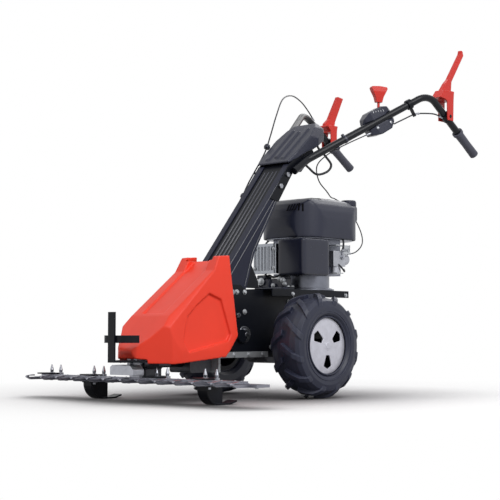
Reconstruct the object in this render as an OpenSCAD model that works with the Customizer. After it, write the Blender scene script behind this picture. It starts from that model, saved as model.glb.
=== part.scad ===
// Walk-behind sickle bar mower: +X points forward, +Y to the operator's left, +Z up.
// The origin lies on the ground below the middle of the machine.

/* [Wheels] */
// Outer diameter of the tyres over the lugs
wheel_d = 330; // [310:1:350]
// Width of the tyres
tyre_w = 120; // [110:1:130]
// Distance from the centre plane to the middle of each tyre
wheel_y = 223; // [218:1:240]
// Height of the tread lugs
lug_h = 13; // [8:0.5:16]
// Number of lugs on each half of a tread
lug_count = 12; // [9:1:13]
// Width of one lug along the tread
lug_w = 18; // [12:1:20]
// Thickness of the tyre casing
tyre_wall = 8; // [6:0.5:10]
// Radius of the bead seats on the rims
bead_r = 76; // [74:1:80]
// Radius of the wheel covers
cover_r = 88; // [86:1:92]
// Diameter of the live axle
axle_d = 20; // [18:1:24]

/* [Cutter bar] */
// Length of the finger bar
bar_l = 980; // [920:1:1040]
// Distance from the axle to the finger tips
bar_tip_x = 617; // [600:1:630]
// Height of the underside of the finger bar
bar_z = 58; // [52:1:62]
// Thickness of the finger bar
bar_t = 8; // [6:0.5:10]
// Depth of the flat part of the finger bar
bar_w = 52; // [46:1:60]
// Number of fingers
finger_count = 13; // [12:1:14]
// Length of the fingers ahead of the flat bar
finger_l = 62; // [54:1:66]
// Thickness of the knife sections
knife_t = 3; // [2:0.5:4]
// Depth of the knife sections
section_w = 46; // [40:1:50]
// Stroke of the knife to each side
knife_stroke = 25; // [20:1:26]

/* [Hood] */
// Length of the hood
hood_l = 352; // [330:1:370]
// Height of the hood
hood_h = 332; // [310:1:345]
// Half width of the hood at its rear
hood_half_w = 130; // [122:1:136]
// Wall of the hood
hood_wall = 3.5; // [2.5:0.5:5]

/* [Engine] */
// Distance from the crankshaft back to the axle
engine_back = 220; // [210:1:230]
// Length of the engine shroud
shroud_l = 310; // [290:1:330]
// Width of the engine shroud
shroud_w = 250; // [230:1:270]
// Height of the engine shroud
shroud_h = 140; // [120:1:150]
// Height of the engine deck above the ground
deck_z = 341; // [338:1:350]

/* [Column and handlebar] */
// Diameter of the handlebar tube
bar_tube_d = 25; // [22:1:28]
// Wall of the handlebar tube
bar_tube_wall = 2; // [1.5:0.5:3]
// Distance from the axle back to the handlebar bends
bend_back = 536; // [520:1:550]
// Height of the handlebar bends
bend_z = 1034; // [1000:1:1060]
// Distance between the centre plane and each bend
bend_y = 287; // [270:1:310]
// Slope of the grips below the horizontal, in degrees
grip_slope = 33.3; // [28:0.1:38]
// Length of the straight run from a bend to the end of its grip
grip_run = 330; // [310:1:350]
// Length of the grips
grip_l = 122; // [110:1:135]
// Diameter of the grips
grip_d = 32; // [30:1:36]
// Height of the left clutch lever above its pivot
left_lever_h = 252; // [220:1:270]
// Height of the right clutch lever above its pivot
right_lever_h = 190; // [160:1:210]

/* [Hidden] */
$fn = 48;

// Overrun of every cut past the face that it opens
over = 2;
// Gap between pieces that sit on one another
seat = 0.15;
// Running clearance of a shaft in its bore
run = 0.05;
// Clearance between pieces that move past one another
clear = 1;

// Wheels: derived radii, rim and cover sizes
wheel_r = wheel_d / 2;
axle_r = axle_d / 2;
casing_r = wheel_r - lug_h;
tyre_half_w = tyre_w / 2;
bead_share = 0.7;
bead_half_w = tyre_half_w * bead_share;
casing_shares = [[0, 0.7], [0.185, 0.7], [0.2, 0.82], [0.34, 0.97], [0.6, 1], [0.84, 0.94], [0.95, 0.76],
  [1, 0.4]];
lug_crown_shares = [[0.56, 1], [0.73, 1], [0.845, 0.88], [0.965, 0.66], [1, 0.35]];
lug_foot_shares = [[0.62, 0.94], [0.78, 0.88], [0.89, 0.72], [0.94, 0.38]];
lug_skew = 42;
lug_edge_share = 0.98;
lug_root_share = 0.6;
rim_t = 4;
rim_flange_h = 9;
rim_flange_t = 2.5;
rim_web_y = 8;
hub_r = 22;
hub_in = 26;
hub_out = 36;
cover_t = 4;
cover_dome = 7;
cover_hole_r = 18;
cover_shares = [[0.45, 1], [0.8, 0.7]];
cover_lip_shares = [0.86, 0.72];
cover_hole_shares = [[-0.45, -1.2], [0.45, -1.2], [1.05, 0.7], [0, 1.2], [-1.05, 0.7]];
cover_hole_at = 51;
axle_end = wheel_y + hub_out + rim_t;

// Axle gearbox with a vertical input shaft ahead of the axle
box_r = 58;
box_half_w = 44;
box_tube_r = 25;
box_tube_y = 128;
box_wall = 9;
bearing_r = 19;
bearing_w = 12;
input_x = 58;
input_r = 8;
input_boss_r = 24;
input_boss_top = 250;
input_foot_z = 118;
pulley_t = 15;
pulley_lip = 6;
groove_share = 0.72;
drive_belt_z = 318;
knife_belt_z = 292;
gearbox_pulley_r = 52;

// Chassis plates, spacers, rails and deck
plate_in = 66;
plate_t = 4;
plate_out = plate_in + plate_t;
plate_front = 252;
plate_back = -70;
plate_low = 128;
plate_top = deck_z;
spacer_r = 11;
spacer_bolt_r = 5;
spacer_x_shares = [0.9, 0.82, 0.1];
spacer_z_shares = [0.957, 0.62, 0.45];
boss_r = 20;
boss_x = 181;
boss_z = 196;
bolt_head_r = 8.5;
bolt_head_h = 6;
rail_z = 128;
rail_h = 18;
rail_t = 6;
rail_back = 60;
rail_plate_t = 8;
hood_arm_gap = 6;
hood_arm_half = hood_half_w - hood_wall - hood_arm_gap;
deck_t = 5;
deck_front = 78;
deck_back = 306;
deck_half_w = 112;
deck_lip = 18;
deck_bore_r = 34;

// Knife gearbox, neck tube, carrier and drive shaft ahead of the chassis
kbox_x = 330;
kbox_l = 92;
kbox_half_w = 46;
kbox_low = 84;
kbox_top = 172;
kbox_boss_r = 26;
kbox_boss_top = 262;
kshaft_r = 9;
knife_pulley_r = 52;
neck_z = 128;
neck_r = 27;
neck_wall = 5;
neck_front = 488;
carrier_back = 470;
carrier_l = 62;
carrier_r = 36;
carrier_foot_half_w = 46;
carrier_foot_t = 12;
carrier_web_half_w = 20;
ear_half_w = 62;
ear_l = 46;
ear_t = 11;
dshaft_r = 11;
crank_r = 36;
crank_t = 12;
crank_throw = knife_stroke;
crank_pin_r = 7;
crank_pin_l = 9;

function unit(v) = v / norm(v);
function spread(shares, size, from = [0, 0]) =
  [for (s = shares) [from.x + s.x * size.x, from.y + s.y * size.y]];
function mirrored(pts) = concat(pts, [for (i = [len(pts) - 1:-1:0]) [pts[i].x, -pts[i].y]]);
function corner_arc(a, b, c, r, n) =
  let (u = unit(a - b), v = unit(c - b), half = acos(u * v) / 2, p = b + u * r / tan(half))
  let (m = b + unit(u + v) * r / sin(half), s = atan2(p.y - m.y, p.x - m.x), q = b + v * r / tan(half))
  let (e = atan2(q.y - m.y, q.x - m.x), d = (e - s + 540) % 360 - 180)
  [for (i = [0:n]) m + r * [cos(s + d * i / n), sin(s + d * i / n)]];
function rounded(pts, r, n = 5) =
  let (k = len(pts))
  [for (i = [0:k - 1]) each corner_arc(pts[(i + k - 1) % k], pts[i], pts[(i + 1) % k], r, n)];
function inset(pts, w) =
  let (k = len(pts))
  [for (i = [0:k - 1])
    let (u = unit(pts[i] - pts[(i + k - 1) % k]), v = unit(pts[(i + 1) % k] - pts[i]))
    let (m = [-u.y, u.x], n = [-v.y, v.x])
    pts[i] + w * (m + n) / (1 + m * n)];

module box(low, high) { translate(low) cube(high - low); }
module cyl_x(r, x0, x1, at = [0, 0]) {
  translate([x0, at.x, at.y]) rotate([0, 90, 0]) cylinder(r = r, h = x1 - x0);
}
module cyl_y(r, y0, y1, at = [0, 0]) {
  translate([at.x, y1, at.y]) rotate([90, 0, 0]) cylinder(r = r, h = y1 - y0);
}
module cyl_z(r, z0, z1, at = [0, 0]) {
  translate([at.x, at.y, z0]) cylinder(r = r, h = z1 - z0);
}
// A side-view outline, given as [x, z], made solid from y0 to y1
module side_slab(y0, y1) { translate([0, y1, 0]) rotate([90, 0, 0]) linear_extrude(y1 - y0) children(); }
// A front-view outline, given as [y, z], made solid from x0 to x1
module front_slab(x0, x1) {
  translate([x0, 0, 0]) rotate([90, 0, 90]) linear_extrude(x1 - x0) children();
}
module both_sides() { children(); mirror([0, 1, 0]) children(); }
// Puts a wheel part, modelled round the local Z axis, on the axle at the left
module on_left_wheel() { translate([0, wheel_y, wheel_r]) rotate([-90, 0, 0]) children(); }

module axle_shaft() {
  color("silver") cyl_y(axle_r, -axle_end, axle_end, [0, wheel_r]);
}

module rim() {
  barrel_r = bead_r - seat;
  difference() {
    union() {
      difference() {
        translate([0, 0, -bead_half_w]) cylinder(r = barrel_r, h = 2 * bead_half_w);
        translate([0, 0, -bead_half_w - over]) cylinder(r = barrel_r - rim_t, h = 2 * (bead_half_w + over));
      }
      for (side = [0, 1]) mirror([0, 0, side]) translate([0, 0, bead_half_w + seat]) difference() {
        translate([0, 0, -rim_flange_t]) cylinder(r = barrel_r, h = 2 * rim_flange_t);
        translate([0, 0, -over - rim_flange_t]) cylinder(r = barrel_r - rim_t, h = 2 * (rim_flange_t +
          over));
      }
      for (side = [0, 1]) mirror([0, 0, side]) translate([0, 0, bead_half_w + seat]) difference() {
        cylinder(r = bead_r + rim_flange_h, h = rim_flange_t);
        translate([0, 0, -over]) cylinder(r = barrel_r - rim_t, h = rim_flange_t + 2 * over);
      }
      translate([0, 0, rim_web_y]) cylinder(r = barrel_r - rim_t / 2, h = rim_t);
      translate([0, 0, -hub_in]) cylinder(r = hub_r, h = hub_in + hub_out);
    }
    translate([0, 0, -hub_in - over]) cylinder(r = axle_r + seat, h = hub_in + hub_out + 2 * over);
  }
}

module wheel_rims() { color("dimgray") both_sides() on_left_wheel() rim(); }

module lug() {
  half = lug_w / 2;
  edge = tyre_half_w * lug_edge_share;
  root = bead_r + (casing_r - bead_r) * lug_root_share;
  outline = [[-half, 0], [half, 0], [half + lug_skew, edge], [lug_skew - half, edge]];
  translate([root, 0, 0]) rotate([90, 0, 90]) linear_extrude(wheel_r - root + over) polygon(outline);
}

module tyre() {
  outer = mirrored(spread(casing_shares, [casing_r - bead_r, tyre_half_w], [bead_r, 0]));
  depth = casing_r - tyre_wall - bead_r;
  inner = mirrored(spread(casing_shares, [depth, tyre_half_w - tyre_wall], [bead_r, 0]));
  back = [for (i = [len(inner) - 1:-1:0]) inner[i]];
  pitch = 360 / lug_count;
  crown = spread(lug_crown_shares, [wheel_r - bead_r, tyre_half_w], [bead_r, 0]);
  foot = spread(lug_foot_shares, [casing_r - bead_r, tyre_half_w], [bead_r, 0]);
  rotate_extrude($fn = 96) polygon(concat(outer, back));
  intersection() {
    for (i = [0:lug_count - 1], side = [0, 1])
      rotate([0, 0, 90 + (i + side / 2) * pitch]) mirror([0, 0, side]) lug();
    rotate_extrude($fn = 96) polygon(concat(foot, [for (i = [len(foot) - 1:-1:0]) [foot[i].x, -foot[i].y]],
      [for (p = crown) [p.x, -p.y]], [for (i = [len(crown) - 1:-1:0]) crown[i]]));
  }
}

module left_tyre() { color([0.13, 0.13, 0.15]) on_left_wheel() tyre(); }
module right_tyre() { color([0.13, 0.13, 0.15]) mirror([0, 1, 0]) on_left_wheel() tyre(); }

module wheel_cover() {
  low = bead_half_w + rim_flange_t + 2 * seat;
  top = low + cover_dome;
  face = concat([[0, top]], spread(cover_shares, [cover_r, cover_dome], [0, low]), [[cover_r, low +
    cover_t / 2]]);
  under = [[cover_r, low], [cover_r * cover_lip_shares[0], low], [cover_r * cover_lip_shares[1],
    top - cover_t],
    [0, top - cover_t]];
  difference() {
    rotate_extrude($fn = 96) polygon(concat(face, under));
    for (i = [0:2]) rotate([0, 0, 90 + i * 120]) translate([cover_hole_at, 0, low - over])
      rotate([0, 0, -90]) linear_extrude(cover_dome + 2 * over)
        polygon(rounded(spread(cover_hole_shares, [cover_hole_r, cover_hole_r]), cover_hole_r / 4));
  }
}

module wheel_covers() { color([0.75, 0.75, 0.78]) both_sides() on_left_wheel() wheel_cover(); }

module axle_gearbox() {
  color("slategray") difference() {
    union() {
      cyl_y(box_r, -box_half_w, box_half_w, [0, wheel_r]);
      cyl_y(box_tube_r, -box_tube_y, box_tube_y, [0, wheel_r]);
      cyl_z(input_boss_r, input_foot_z, input_boss_top, [input_x, 0]);
    }
    cyl_y(axle_r + run, -box_tube_y - over, box_tube_y + over, [0, wheel_r]);
    both_sides() cyl_y(bearing_r + seat, box_tube_y - bearing_w, box_tube_y + over, [0, wheel_r]);
    cyl_z(input_r + run, input_foot_z + box_wall, input_boss_top + over, [input_x, 0]);
  }
}

module axle_bearings() {
  color("silver") both_sides() difference() {
    cyl_y(bearing_r, box_tube_y - bearing_w, box_tube_y, [0, wheel_r]);
    cyl_y(axle_r + run, box_tube_y - bearing_w - over, box_tube_y + over, [0, wheel_r]);
  }
}

// A V-belt pulley round the local Z axis, centred on its groove
module pulley(r, bore_r) {
  half = pulley_t / 2;
  deep = r - pulley_lip;
  profile = [[bore_r, -half], [r, -half], [r, -half * groove_share], [deep, -half * groove_share / 2],
    [deep, half * groove_share / 2], [r, half * groove_share], [r, half], [bore_r, half]];
  rotate_extrude() polygon(profile);
}

module gearbox_input_shaft() {
  color("silver") cyl_z(input_r, input_foot_z + box_wall + seat, drive_belt_z + pulley_t / 2, [input_x, 0]);
}

module gearbox_pulley() {
  color("gray") translate([input_x, 0, drive_belt_z]) pulley(gearbox_pulley_r, input_r + seat);
}

plate_shares = [[0, 0.28], [0.2, 0], [0.8, 0], [1, 0.24], [1, 0.86], [0.95, 1.02], [0.9, 1.07], [0.78,
  1.07],
  [0.7, 1], [0, 1]];

module side_plate() {
  size = [plate_front - plate_back, plate_top - plate_low];
  difference() {
    union() {
      side_slab(plate_in, plate_out) polygon(spread(plate_shares, size, [plate_back, plate_low]));
      cyl_y(boss_r, plate_in, plate_out + boss_r / 2, [boss_x, boss_z]);
    }
    cyl_y(box_tube_r + seat, plate_in - over, plate_out + over, [0, wheel_r]);
    for (i = [0:2]) cyl_y(spacer_bolt_r + seat, plate_in - over, plate_out + over, spacer_at(i));
  }
}

function spacer_at(i) = [plate_back + (plate_front - plate_back) * spacer_x_shares[i],
  plate_low + (plate_top - plate_low) * spacer_z_shares[i]];

module left_side_plate() { color([0.16, 0.16, 0.18]) side_plate(); }
module right_side_plate() { color([0.16, 0.16, 0.18]) mirror([0, 1, 0]) side_plate(); }

// Tubes that the frame bolts pass through; the second one carries the pin of the knife idler
module frame_spacers() {
  halves = [beam_out - beam_wall - seat, plate_in - seat, plate_in - seat];
  color("dimgray") {
    for (i = [0:2]) difference() {
      cyl_y(spacer_r, -halves[i], halves[i], spacer_at(i));
      cyl_y(spacer_bolt_r + seat, -plate_in - over, plate_in + over, spacer_at(i));
    }
    difference() {
      cyl_z(idler_pin_r, spacer_at(1).y + spacer_bolt_r + seat, knife_arm_z + idler_arm_t, knife_idler_at);
      cyl_y(spacer_bolt_r + seat, -plate_in - over, plate_in + over, spacer_at(1));
    }
  }
}

module hex_bolt_y(r, y0, y1, at) {
  cyl_y(r, y0, y1, at);
  both_sides() translate([at.x, y1 + bolt_head_h, at.y]) rotate([90, 0, 0])
    cylinder(r = bolt_head_r, h = bolt_head_h, $fn = 6);
}

module neck_rails() {
  front = kbox_x - kbox_l / 2 - seat;
  color("lightgray") {
    both_sides() box([rail_back, plate_out + seat, rail_z], [front, plate_out + seat + rail_t, rail_z +
      rail_h]);
    box([front - rail_plate_t, -plate_out - rail_t, kbox_low], [front, plate_out + rail_t, kbox_top]);
    box([front - rail_plate_t, -hood_arm_half, kbox_top - rail_h], [front, hood_arm_half, kbox_top]);
  }
}

// Folded plate with a bore for the crankshaft and the pin of the drive idler below
module engine_deck() {
  color([0.16, 0.16, 0.18]) difference() {
    union() {
      box([-deck_back, -deck_half_w, deck_z], [deck_front, deck_half_w, deck_z + deck_t]);
      both_sides() box([-deck_back, deck_half_w - deck_t, deck_z - deck_lip],
        [deck_front, deck_half_w, deck_z + deck_t]);
      cyl_z(idler_pin_r, drive_arm_z - seat, deck_z + deck_t / 2, drive_idler_at);
    }
    cyl_z(deck_bore_r, deck_z - over, deck_z + deck_t + over, [-engine_back, 0]);
  }
}

kbox_back = kbox_x - kbox_l / 2;
kbox_front = kbox_x + kbox_l / 2;
carrier_front = carrier_back + carrier_l;
crank_back = carrier_front + clear;
crank_front = crank_back + crank_t;
bar_top = bar_z + bar_t;
bar_front = bar_tip_x - finger_l;
bar_back = bar_front - bar_w;

module knife_gearbox() {
  size = [kbox_l, kbox_top - kbox_low];
  outline = spread([[0, 0], [1, 0], [1, 1], [0, 1]], size, [kbox_back, kbox_low]);
  color("slategray") difference() {
    union() {
      side_slab(-kbox_half_w, kbox_half_w) polygon(rounded(outline, box_wall));
      cyl_z(kbox_boss_r, kbox_top - over, kbox_boss_top, [kbox_x, 0]);
    }
    cyl_z(kshaft_r + run, kbox_low + box_wall, kbox_boss_top + over, [kbox_x, 0]);
    cyl_x(dshaft_r + run, kbox_x + kshaft_r + box_wall / 2, kbox_front + over, [0, neck_z]);
  }
}

module knife_input_shaft() {
  color("silver") cyl_z(kshaft_r, kbox_low + box_wall + seat, knife_belt_z + pulley_t / 2, [kbox_x, 0]);
}

module knife_pulley() {
  color("gray") translate([kbox_x, 0, knife_belt_z]) pulley(knife_pulley_r, kshaft_r + seat);
}

module neck_tube() {
  color([0.16, 0.16, 0.18]) difference() {
    cyl_x(neck_r, kbox_front + seat, neck_front, [0, neck_z]);
    cyl_x(neck_r - neck_wall, kbox_front - over, neck_front + over, [0, neck_z]);
  }
}

module bar_carrier() {
  ear_top = guard_foot_z - seat;
  color("slategray") difference() {
    union() {
      cyl_x(carrier_r, carrier_back, carrier_front, [0, neck_z]);
      box([carrier_back, -carrier_web_half_w, bar_top + seat], [carrier_front, carrier_web_half_w, neck_z]);
      box([carrier_back, -carrier_foot_half_w, bar_top + seat],
        [carrier_front, carrier_foot_half_w, bar_top + seat + carrier_foot_t]);
      box([carrier_back, -ear_half_w, ear_top - ear_t], [carrier_back + ear_l, ear_half_w, ear_top]);
    }
    cyl_x(neck_r + seat, carrier_back - over, neck_front + seat, [0, neck_z]);
    cyl_x(dshaft_r + run, carrier_back, carrier_front + over, [0, neck_z]);
  }
}

module drive_shaft() {
  color("silver") {
    cyl_x(dshaft_r, kbox_x + kshaft_r + box_wall / 2 + seat, crank_back + over, [0, neck_z]);
    cyl_x(crank_r, crank_back, crank_front, [0, neck_z]);
    cyl_x(crank_pin_r, crank_front - over, crank_front + crank_pin_l, [0, neck_z + crank_throw]);
  }
}

finger_pitch = bar_l / finger_count;
finger_root_share = 0.35;
finger_root_w = finger_pitch * finger_root_share;
finger_tip_w = finger_root_w / 4;
finger_shares = [[-0.1, 0], [0.72, 0], [1, 0.5], [0.94, 0.82], [0.52, 1], [0.52, 0.745], [0.84, 0.745],
  [0.84, 0.5],
  [-0.1, 0.5]];

module finger() {
  side = spread(finger_shares, [finger_l, 2 * bar_t], [bar_front, bar_z]);
  root = [bar_front - finger_l / 4, finger_root_w / 2];
  tip = [bar_tip_x, finger_tip_w / 2];
  intersection() {
    side_slab(-finger_root_w, finger_root_w) polygon(side);
    translate([0, 0, bar_z - over]) linear_extrude(2 * bar_t + 2 * over) polygon(mirrored([root, tip]));
  }
}

module finger_bar() {
  color("lightgray") {
    box([bar_back, -bar_l / 2, bar_z], [bar_front, bar_l / 2, bar_top]);
    for (i = [0:finger_count - 1]) translate([0, (i + 0.5) * finger_pitch - bar_l / 2, 0]) finger();
  }
}

knife_z = bar_top + clear / 3;
section_back = bar_front - bar_w / 4;
back_w = 18;
back_h = 5;
section_root_share = 0.94;
section_root_w = finger_pitch * section_root_share;
section_tip_w = section_root_w / 6;
knife_l = bar_l - 2 * knife_stroke - finger_pitch / 2;

module knife() {
  color("silver") {
    for (i = [0:finger_count - 2]) translate([0, (i + 1) * finger_pitch - bar_l / 2, knife_z])
      linear_extrude(knife_t) polygon(mirrored([[section_back, section_root_w / 2],
        [section_back + section_w / 4, section_root_w / 2], [section_back + section_w,
          section_tip_w / 2]]));
    box([section_back, -knife_l / 2, knife_z + knife_t / 2], [section_back + back_w, knife_l / 2,
      knife_z + knife_t + back_h]);
  }
}

clip_y_shares = [-0.855, -0.422, 0.578];
clip_side_gap = 11;
clip_w = 58;
clip_t = 4;
clip_foot_l = 30;
clip_reach = 34;
stud_gap = 46;
stud_r = 5;
stud_swell_share = 1.2;
stud_nut_r = 9;
stud_nut_h = 9;
stud_top = 34;
clips_at = concat([carrier_foot_half_w + clip_side_gap + stud_gap / 2], [for (s = clip_y_shares)
  s * bar_l / 2]);
stud_x = bar_back + clip_foot_l / 2 + clip_t;
clip_rise = knife_z + knife_t + back_h + clear;

module hold_down_clips() {
  foot = bar_back + clip_t;
  step = section_back - clear - clip_t;
  low = bar_top + seat;
  outline = [[foot, low], [step, low], [step + clip_t, clip_rise], [step + clip_t + clip_reach, clip_rise],
    [step + clip_t + clip_reach, clip_rise + clip_t], [step, clip_rise + clip_t], [step - clip_t, low +
      clip_t],
    [foot, low + clip_t]];
  color([0.2, 0.2, 0.22]) for (y = clips_at) translate([0, y, 0]) difference() {
    side_slab(-clip_w / 2, clip_w / 2) polygon(outline);
    for (k = [-0.5, 0.5]) cyl_z(stud_r + seat, low - over, low + clip_t + over, [stud_x, k * stud_gap]);
  }
}

module clip_bolts() {
  low = bar_top + 2 * seat + clip_t;
  cap = [[0, low - clip_t], [stud_r, low - clip_t], [stud_r, low], [stud_nut_r, low],
    [stud_nut_r, low + stud_nut_h], [stud_r, low + stud_nut_h], [stud_r * stud_swell_share, low +
      stud_top / 2],
    [stud_r / 3, low + stud_top], [0, low + stud_top]];
  color("gray") for (y = clips_at, k = [-0.5, 0.5])
    translate([stud_x, y + k * stud_gap, 0]) rotate_extrude($fn = 24) polygon(cap);
}

head_low = clip_rise + clip_t + clear * 3;
head_h = 29;
head_half_w = 50;
head_back = crank_front + crank_pin_l + clear / 2;
head_l = 56;
fork_t = 12;
fork_half_w = 22;
fork_top = neck_z + crank_throw + crank_pin_r + clear;
head_front = head_back + head_l;
head_shares = [[-1, 0], [1, 0], [1, 0.55], [0.72, 1], [-0.8, 1], [-1, 0.8]];

module knife_head() {
  color("gainsboro") difference() {
    union() {
      front_slab(head_back + fork_t, head_front)
        polygon(spread(head_shares, [head_half_w, head_h], [0, head_low]));
      box([head_back, -fork_half_w, head_low], [head_back + fork_t + over, fork_half_w, fork_top]);
      box([section_back + clear, -fork_half_w + clear, knife_z + knife_t + back_h + seat],
        [section_back + back_w, fork_half_w - clear, head_low + clear]);
      box([section_back + clear, -fork_half_w + clear, head_low], [head_back + over, fork_half_w - clear,
        head_low + clear * 3]);
    }
    box([head_back - over, -crank_pin_r - seat, neck_z - crank_throw - crank_pin_r - clear],
      [head_back + fork_t + over, crank_pin_r + seat, fork_top + over]);
  }
}

skid_y_share = 0.259;
skid_y = bar_l * skid_y_share;
skid_w = 38;
skid_t = 5;
skid_front = 530;
skid_curve_r = 50;
skid_flat_l = 46;
skid_tail_l = 28;
skid_tail_rise = 7;
skid_flange_t = 6;
skid_flange_l = 58;
skid_bolt_r = 5;
skid_top = bar_z - seat - skid_flange_t;

function skid_line(r) = [for (i = [0:9]) [skid_front - skid_curve_r + r * sin(90 - 10 * i),
  skid_curve_r - r * cos(90 - 10 * i)]];

// Runner bent from flat bar, with a side web and a flange below the finger bar
module skid() {
  flat_back = skid_front - skid_curve_r - skid_flat_l;
  outer = concat(skid_line(skid_curve_r), [[flat_back, 0], [flat_back - skid_tail_l, skid_tail_rise]]);
  inner = concat([[flat_back - skid_tail_l, skid_tail_rise + skid_t], [flat_back, skid_t]],
    [for (i = [9:-1:0]) skid_line(skid_curve_r - skid_t)[i]]);
  web = concat(skid_line(skid_curve_r - skid_t / 2), [[flat_back + skid_flat_l / 3, skid_t / 2],
    [flat_back + skid_flat_l / 3, skid_top + skid_t / 2], [skid_front - skid_t / 2, skid_top +
      skid_t / 2]]);
  flange_back = skid_front - skid_flange_l;
  difference() {
    union() {
      side_slab(-skid_w / 2, skid_w / 2) polygon(concat(outer, inner));
      side_slab(-skid_t / 2, skid_t / 2) polygon(web);
      box([flange_back, -skid_w / 2, skid_top], [skid_front + skid_t, skid_w / 2, skid_top +
        skid_flange_t]);
      box([skid_front - skid_t, -skid_w / 2, skid_curve_r - seat], [skid_front, skid_w / 2, skid_top +
        seat]);
    }
    for (k = [-0.3, 0.3]) cyl_z(skid_bolt_r + seat, skid_top - over, skid_top + skid_flange_t + over,
      [bar_back + bar_w / 4, k * skid_w]);
  }
}

module left_skid() { color([0.17, 0.17, 0.19]) translate([0, skid_y, 0]) skid(); }
module right_skid() { color([0.17, 0.17, 0.19]) translate([0, -skid_y, 0]) skid(); }

module skid_bolts() {
  color("silver") both_sides() for (k = [-0.3, 0.3])
    translate([bar_back + bar_w / 4, skid_y + k * skid_w, 0]) {
      cyl_z(skid_bolt_r, skid_top - seat, skid_top + skid_flange_t);
      translate([0, 0, skid_top - seat - bolt_head_h]) cylinder(r = bolt_head_r, h = bolt_head_h, $fn = 6);
    }
}

guard_foot_z = 119;
guard_t = 6;
guard_front = 650;
guard_post_w = 28;
guard_post_top = 266;
guard_leg_in = 50;
guard_leg_out = 60;
guard_fork_x = 590;
bow_t = 4;
bow_low = 176;
bow_h = 22;
bow_half_w = 54;
bow_bend_r = 26;
bow_back = 588;

// Upright with a forked foot that runs back to the ears of the bar carrier
module guard_post() {
  half = guard_post_w / 2;
  fork_end = guard_fork_x - guard_leg_out + guard_leg_in;
  color([0.15, 0.15, 0.17]) difference() {
    union() {
      box([guard_front - guard_t, -half, guard_foot_z], [guard_front, half, guard_post_top]);
      translate([0, 0, guard_foot_z]) linear_extrude(guard_t) polygon(mirrored([[carrier_back,
        guard_leg_out],
        [guard_fork_x, guard_leg_out], [guard_front - guard_t, half], [guard_front, half]]));
    }
    box([carrier_back - over, -guard_leg_in, guard_foot_z - over],
      [fork_end, guard_leg_in, guard_foot_z + guard_t + over]);
  }
}

module bow_outline(w) {
  front = guard_front - guard_t - seat - w;
  half = bow_half_w - w;
  polygon(mirrored(concat([[bow_back - (w > 0 ? over : 0), half]],
    corner_arc([bow_back, half], [front, half], [front, 0], bow_bend_r - w, 6))));
}

module guard_bow() {
  color([0.15, 0.15, 0.17]) translate([0, 0, bow_low]) difference() {
    linear_extrude(bow_h) bow_outline(0);
    translate([0, 0, -over]) linear_extrude(bow_h + 2 * over) bow_outline(bow_t);
  }
}

// Hood: the side, plan, front and slope outlines meet in one shell
hood_back = 245;
hood_low = 113;
hood_side_shares = [[0, 0.25], [0.16, 0.055], [0.72, 0], [0.905, 0.005], [0.91, 0.04], [0.98, 0.045], [1,
  0.12],
  [0.985, 0.145], [0.89, 0.235], [0.72, 0.43], [0.2, 0.855], [0.13, 0.99], [0, 1]];
hood_plan_shares = [[0, 1], [0.66, 0.9], [0.745, 0.84], [0.975, 0.32], [1, 0.2]];
hood_front_shares = [[1, -0.1], [1, 0.12], [0.86, 0.47], [0.73, 0.8], [0.65, 1.02]];
hood_slope_shares = [[1.3, -1.6], [1.3, -0.7], [0.8, -0.14], [0.66, 0], [0.2, 0.01]];
hood_ridge_share = [0.72, 0.43];
hood_crest_share = [0.2, 0.855];
hood_slope = atan2((hood_crest_share.y - hood_ridge_share.y) * hood_h,
  (hood_ridge_share.x - hood_crest_share.x) * hood_l);
hood_taper = atan2((hood_plan_shares[0].y - hood_plan_shares[1].y) * hood_half_w,
  (hood_plan_shares[1].x - hood_plan_shares[0].x) * hood_l);
hood_ridge = spread([hood_ridge_share], [hood_l, hood_h], [hood_back, hood_low])[0];
channel_half_w = 46;
channel_depth = 5;
channel_end = -14;
hood_ear_share = 0.2;
hood_apron_share = 0.93;
hood_notch_half_w = 58;
hood_notch_low_share = 0.955;
panel_depth = 9;
panel_shares = [[0.132, 0.2], [0.58, 0.1], [0.63, 0.2], [0.56, 0.42], [0.44, 0.53], [0.285, 0.64],
  [0.156, 0.588],
  [0.086, 0.261]];

module hood_solid(w) {
  size = [hood_l, hood_h];
  slope_size = [hood_half_w, hood_half_w];
  intersection() {
    side_slab(-hood_half_w - over, hood_half_w + over)
      polygon(inset(spread(hood_side_shares, size, [hood_back, hood_low]), w));
    translate([0, 0, hood_low - over]) linear_extrude(hood_h + 2 * over) polygon(inset(full_plan(), w));
    hood_flank(w);
    mirror([0, 1, 0]) hood_flank(w);
    union() {
      translate([hood_ridge.x, 0, hood_ridge.y]) rotate([0, hood_slope, 0]) front_slab(-2 * hood_l, hood_l)
        polygon(inset(full_front(hood_slope_shares, slope_size, 0), w));
      box([hood_back - over, -hood_half_w, hood_low - over],
        [hood_back + hood_ear_share * hood_l - w, hood_half_w, hood_low + hood_h + over]);
    }
  }
}

// One leaning side, turned in towards the nose
module hood_flank(w) {
  half = spread(hood_front_shares, [hood_half_w, hood_h], [-hood_half_w, hood_low]);
  far = -3 * hood_half_w;
  translate([hood_back, hood_half_w, 0]) rotate([0, 0, -hood_taper]) front_slab(-hood_l, 2 * hood_l)
    polygon(inset(concat([[far, half[0].y]], half, [[far, half[len(half) - 1].y]]), w));
}

// Shallow channel down the sloping front, between two rails
module hood_channel(grow) {
  translate([hood_ridge.x, 0, hood_ridge.y]) rotate([0, hood_slope, 0])
    box([-2 * hood_l, -channel_half_w - grow, -channel_depth - grow], [channel_end + grow,
      channel_half_w + grow, hood_half_w]);
}

function full_plan() =
  let (half = spread(hood_plan_shares, [hood_l, hood_half_w], [hood_back, 0]))
  concat([for (p = half) [p.x, -p.y]], [for (i = [len(half) - 1:-1:0]) half[i]]);
function full_front(shares, size, low) =
  let (half = spread(shares, size, [0, low]))
  concat(half, [for (i = [len(half) - 1:-1:0]) [-half[i].x, half[i].y]]);

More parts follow.
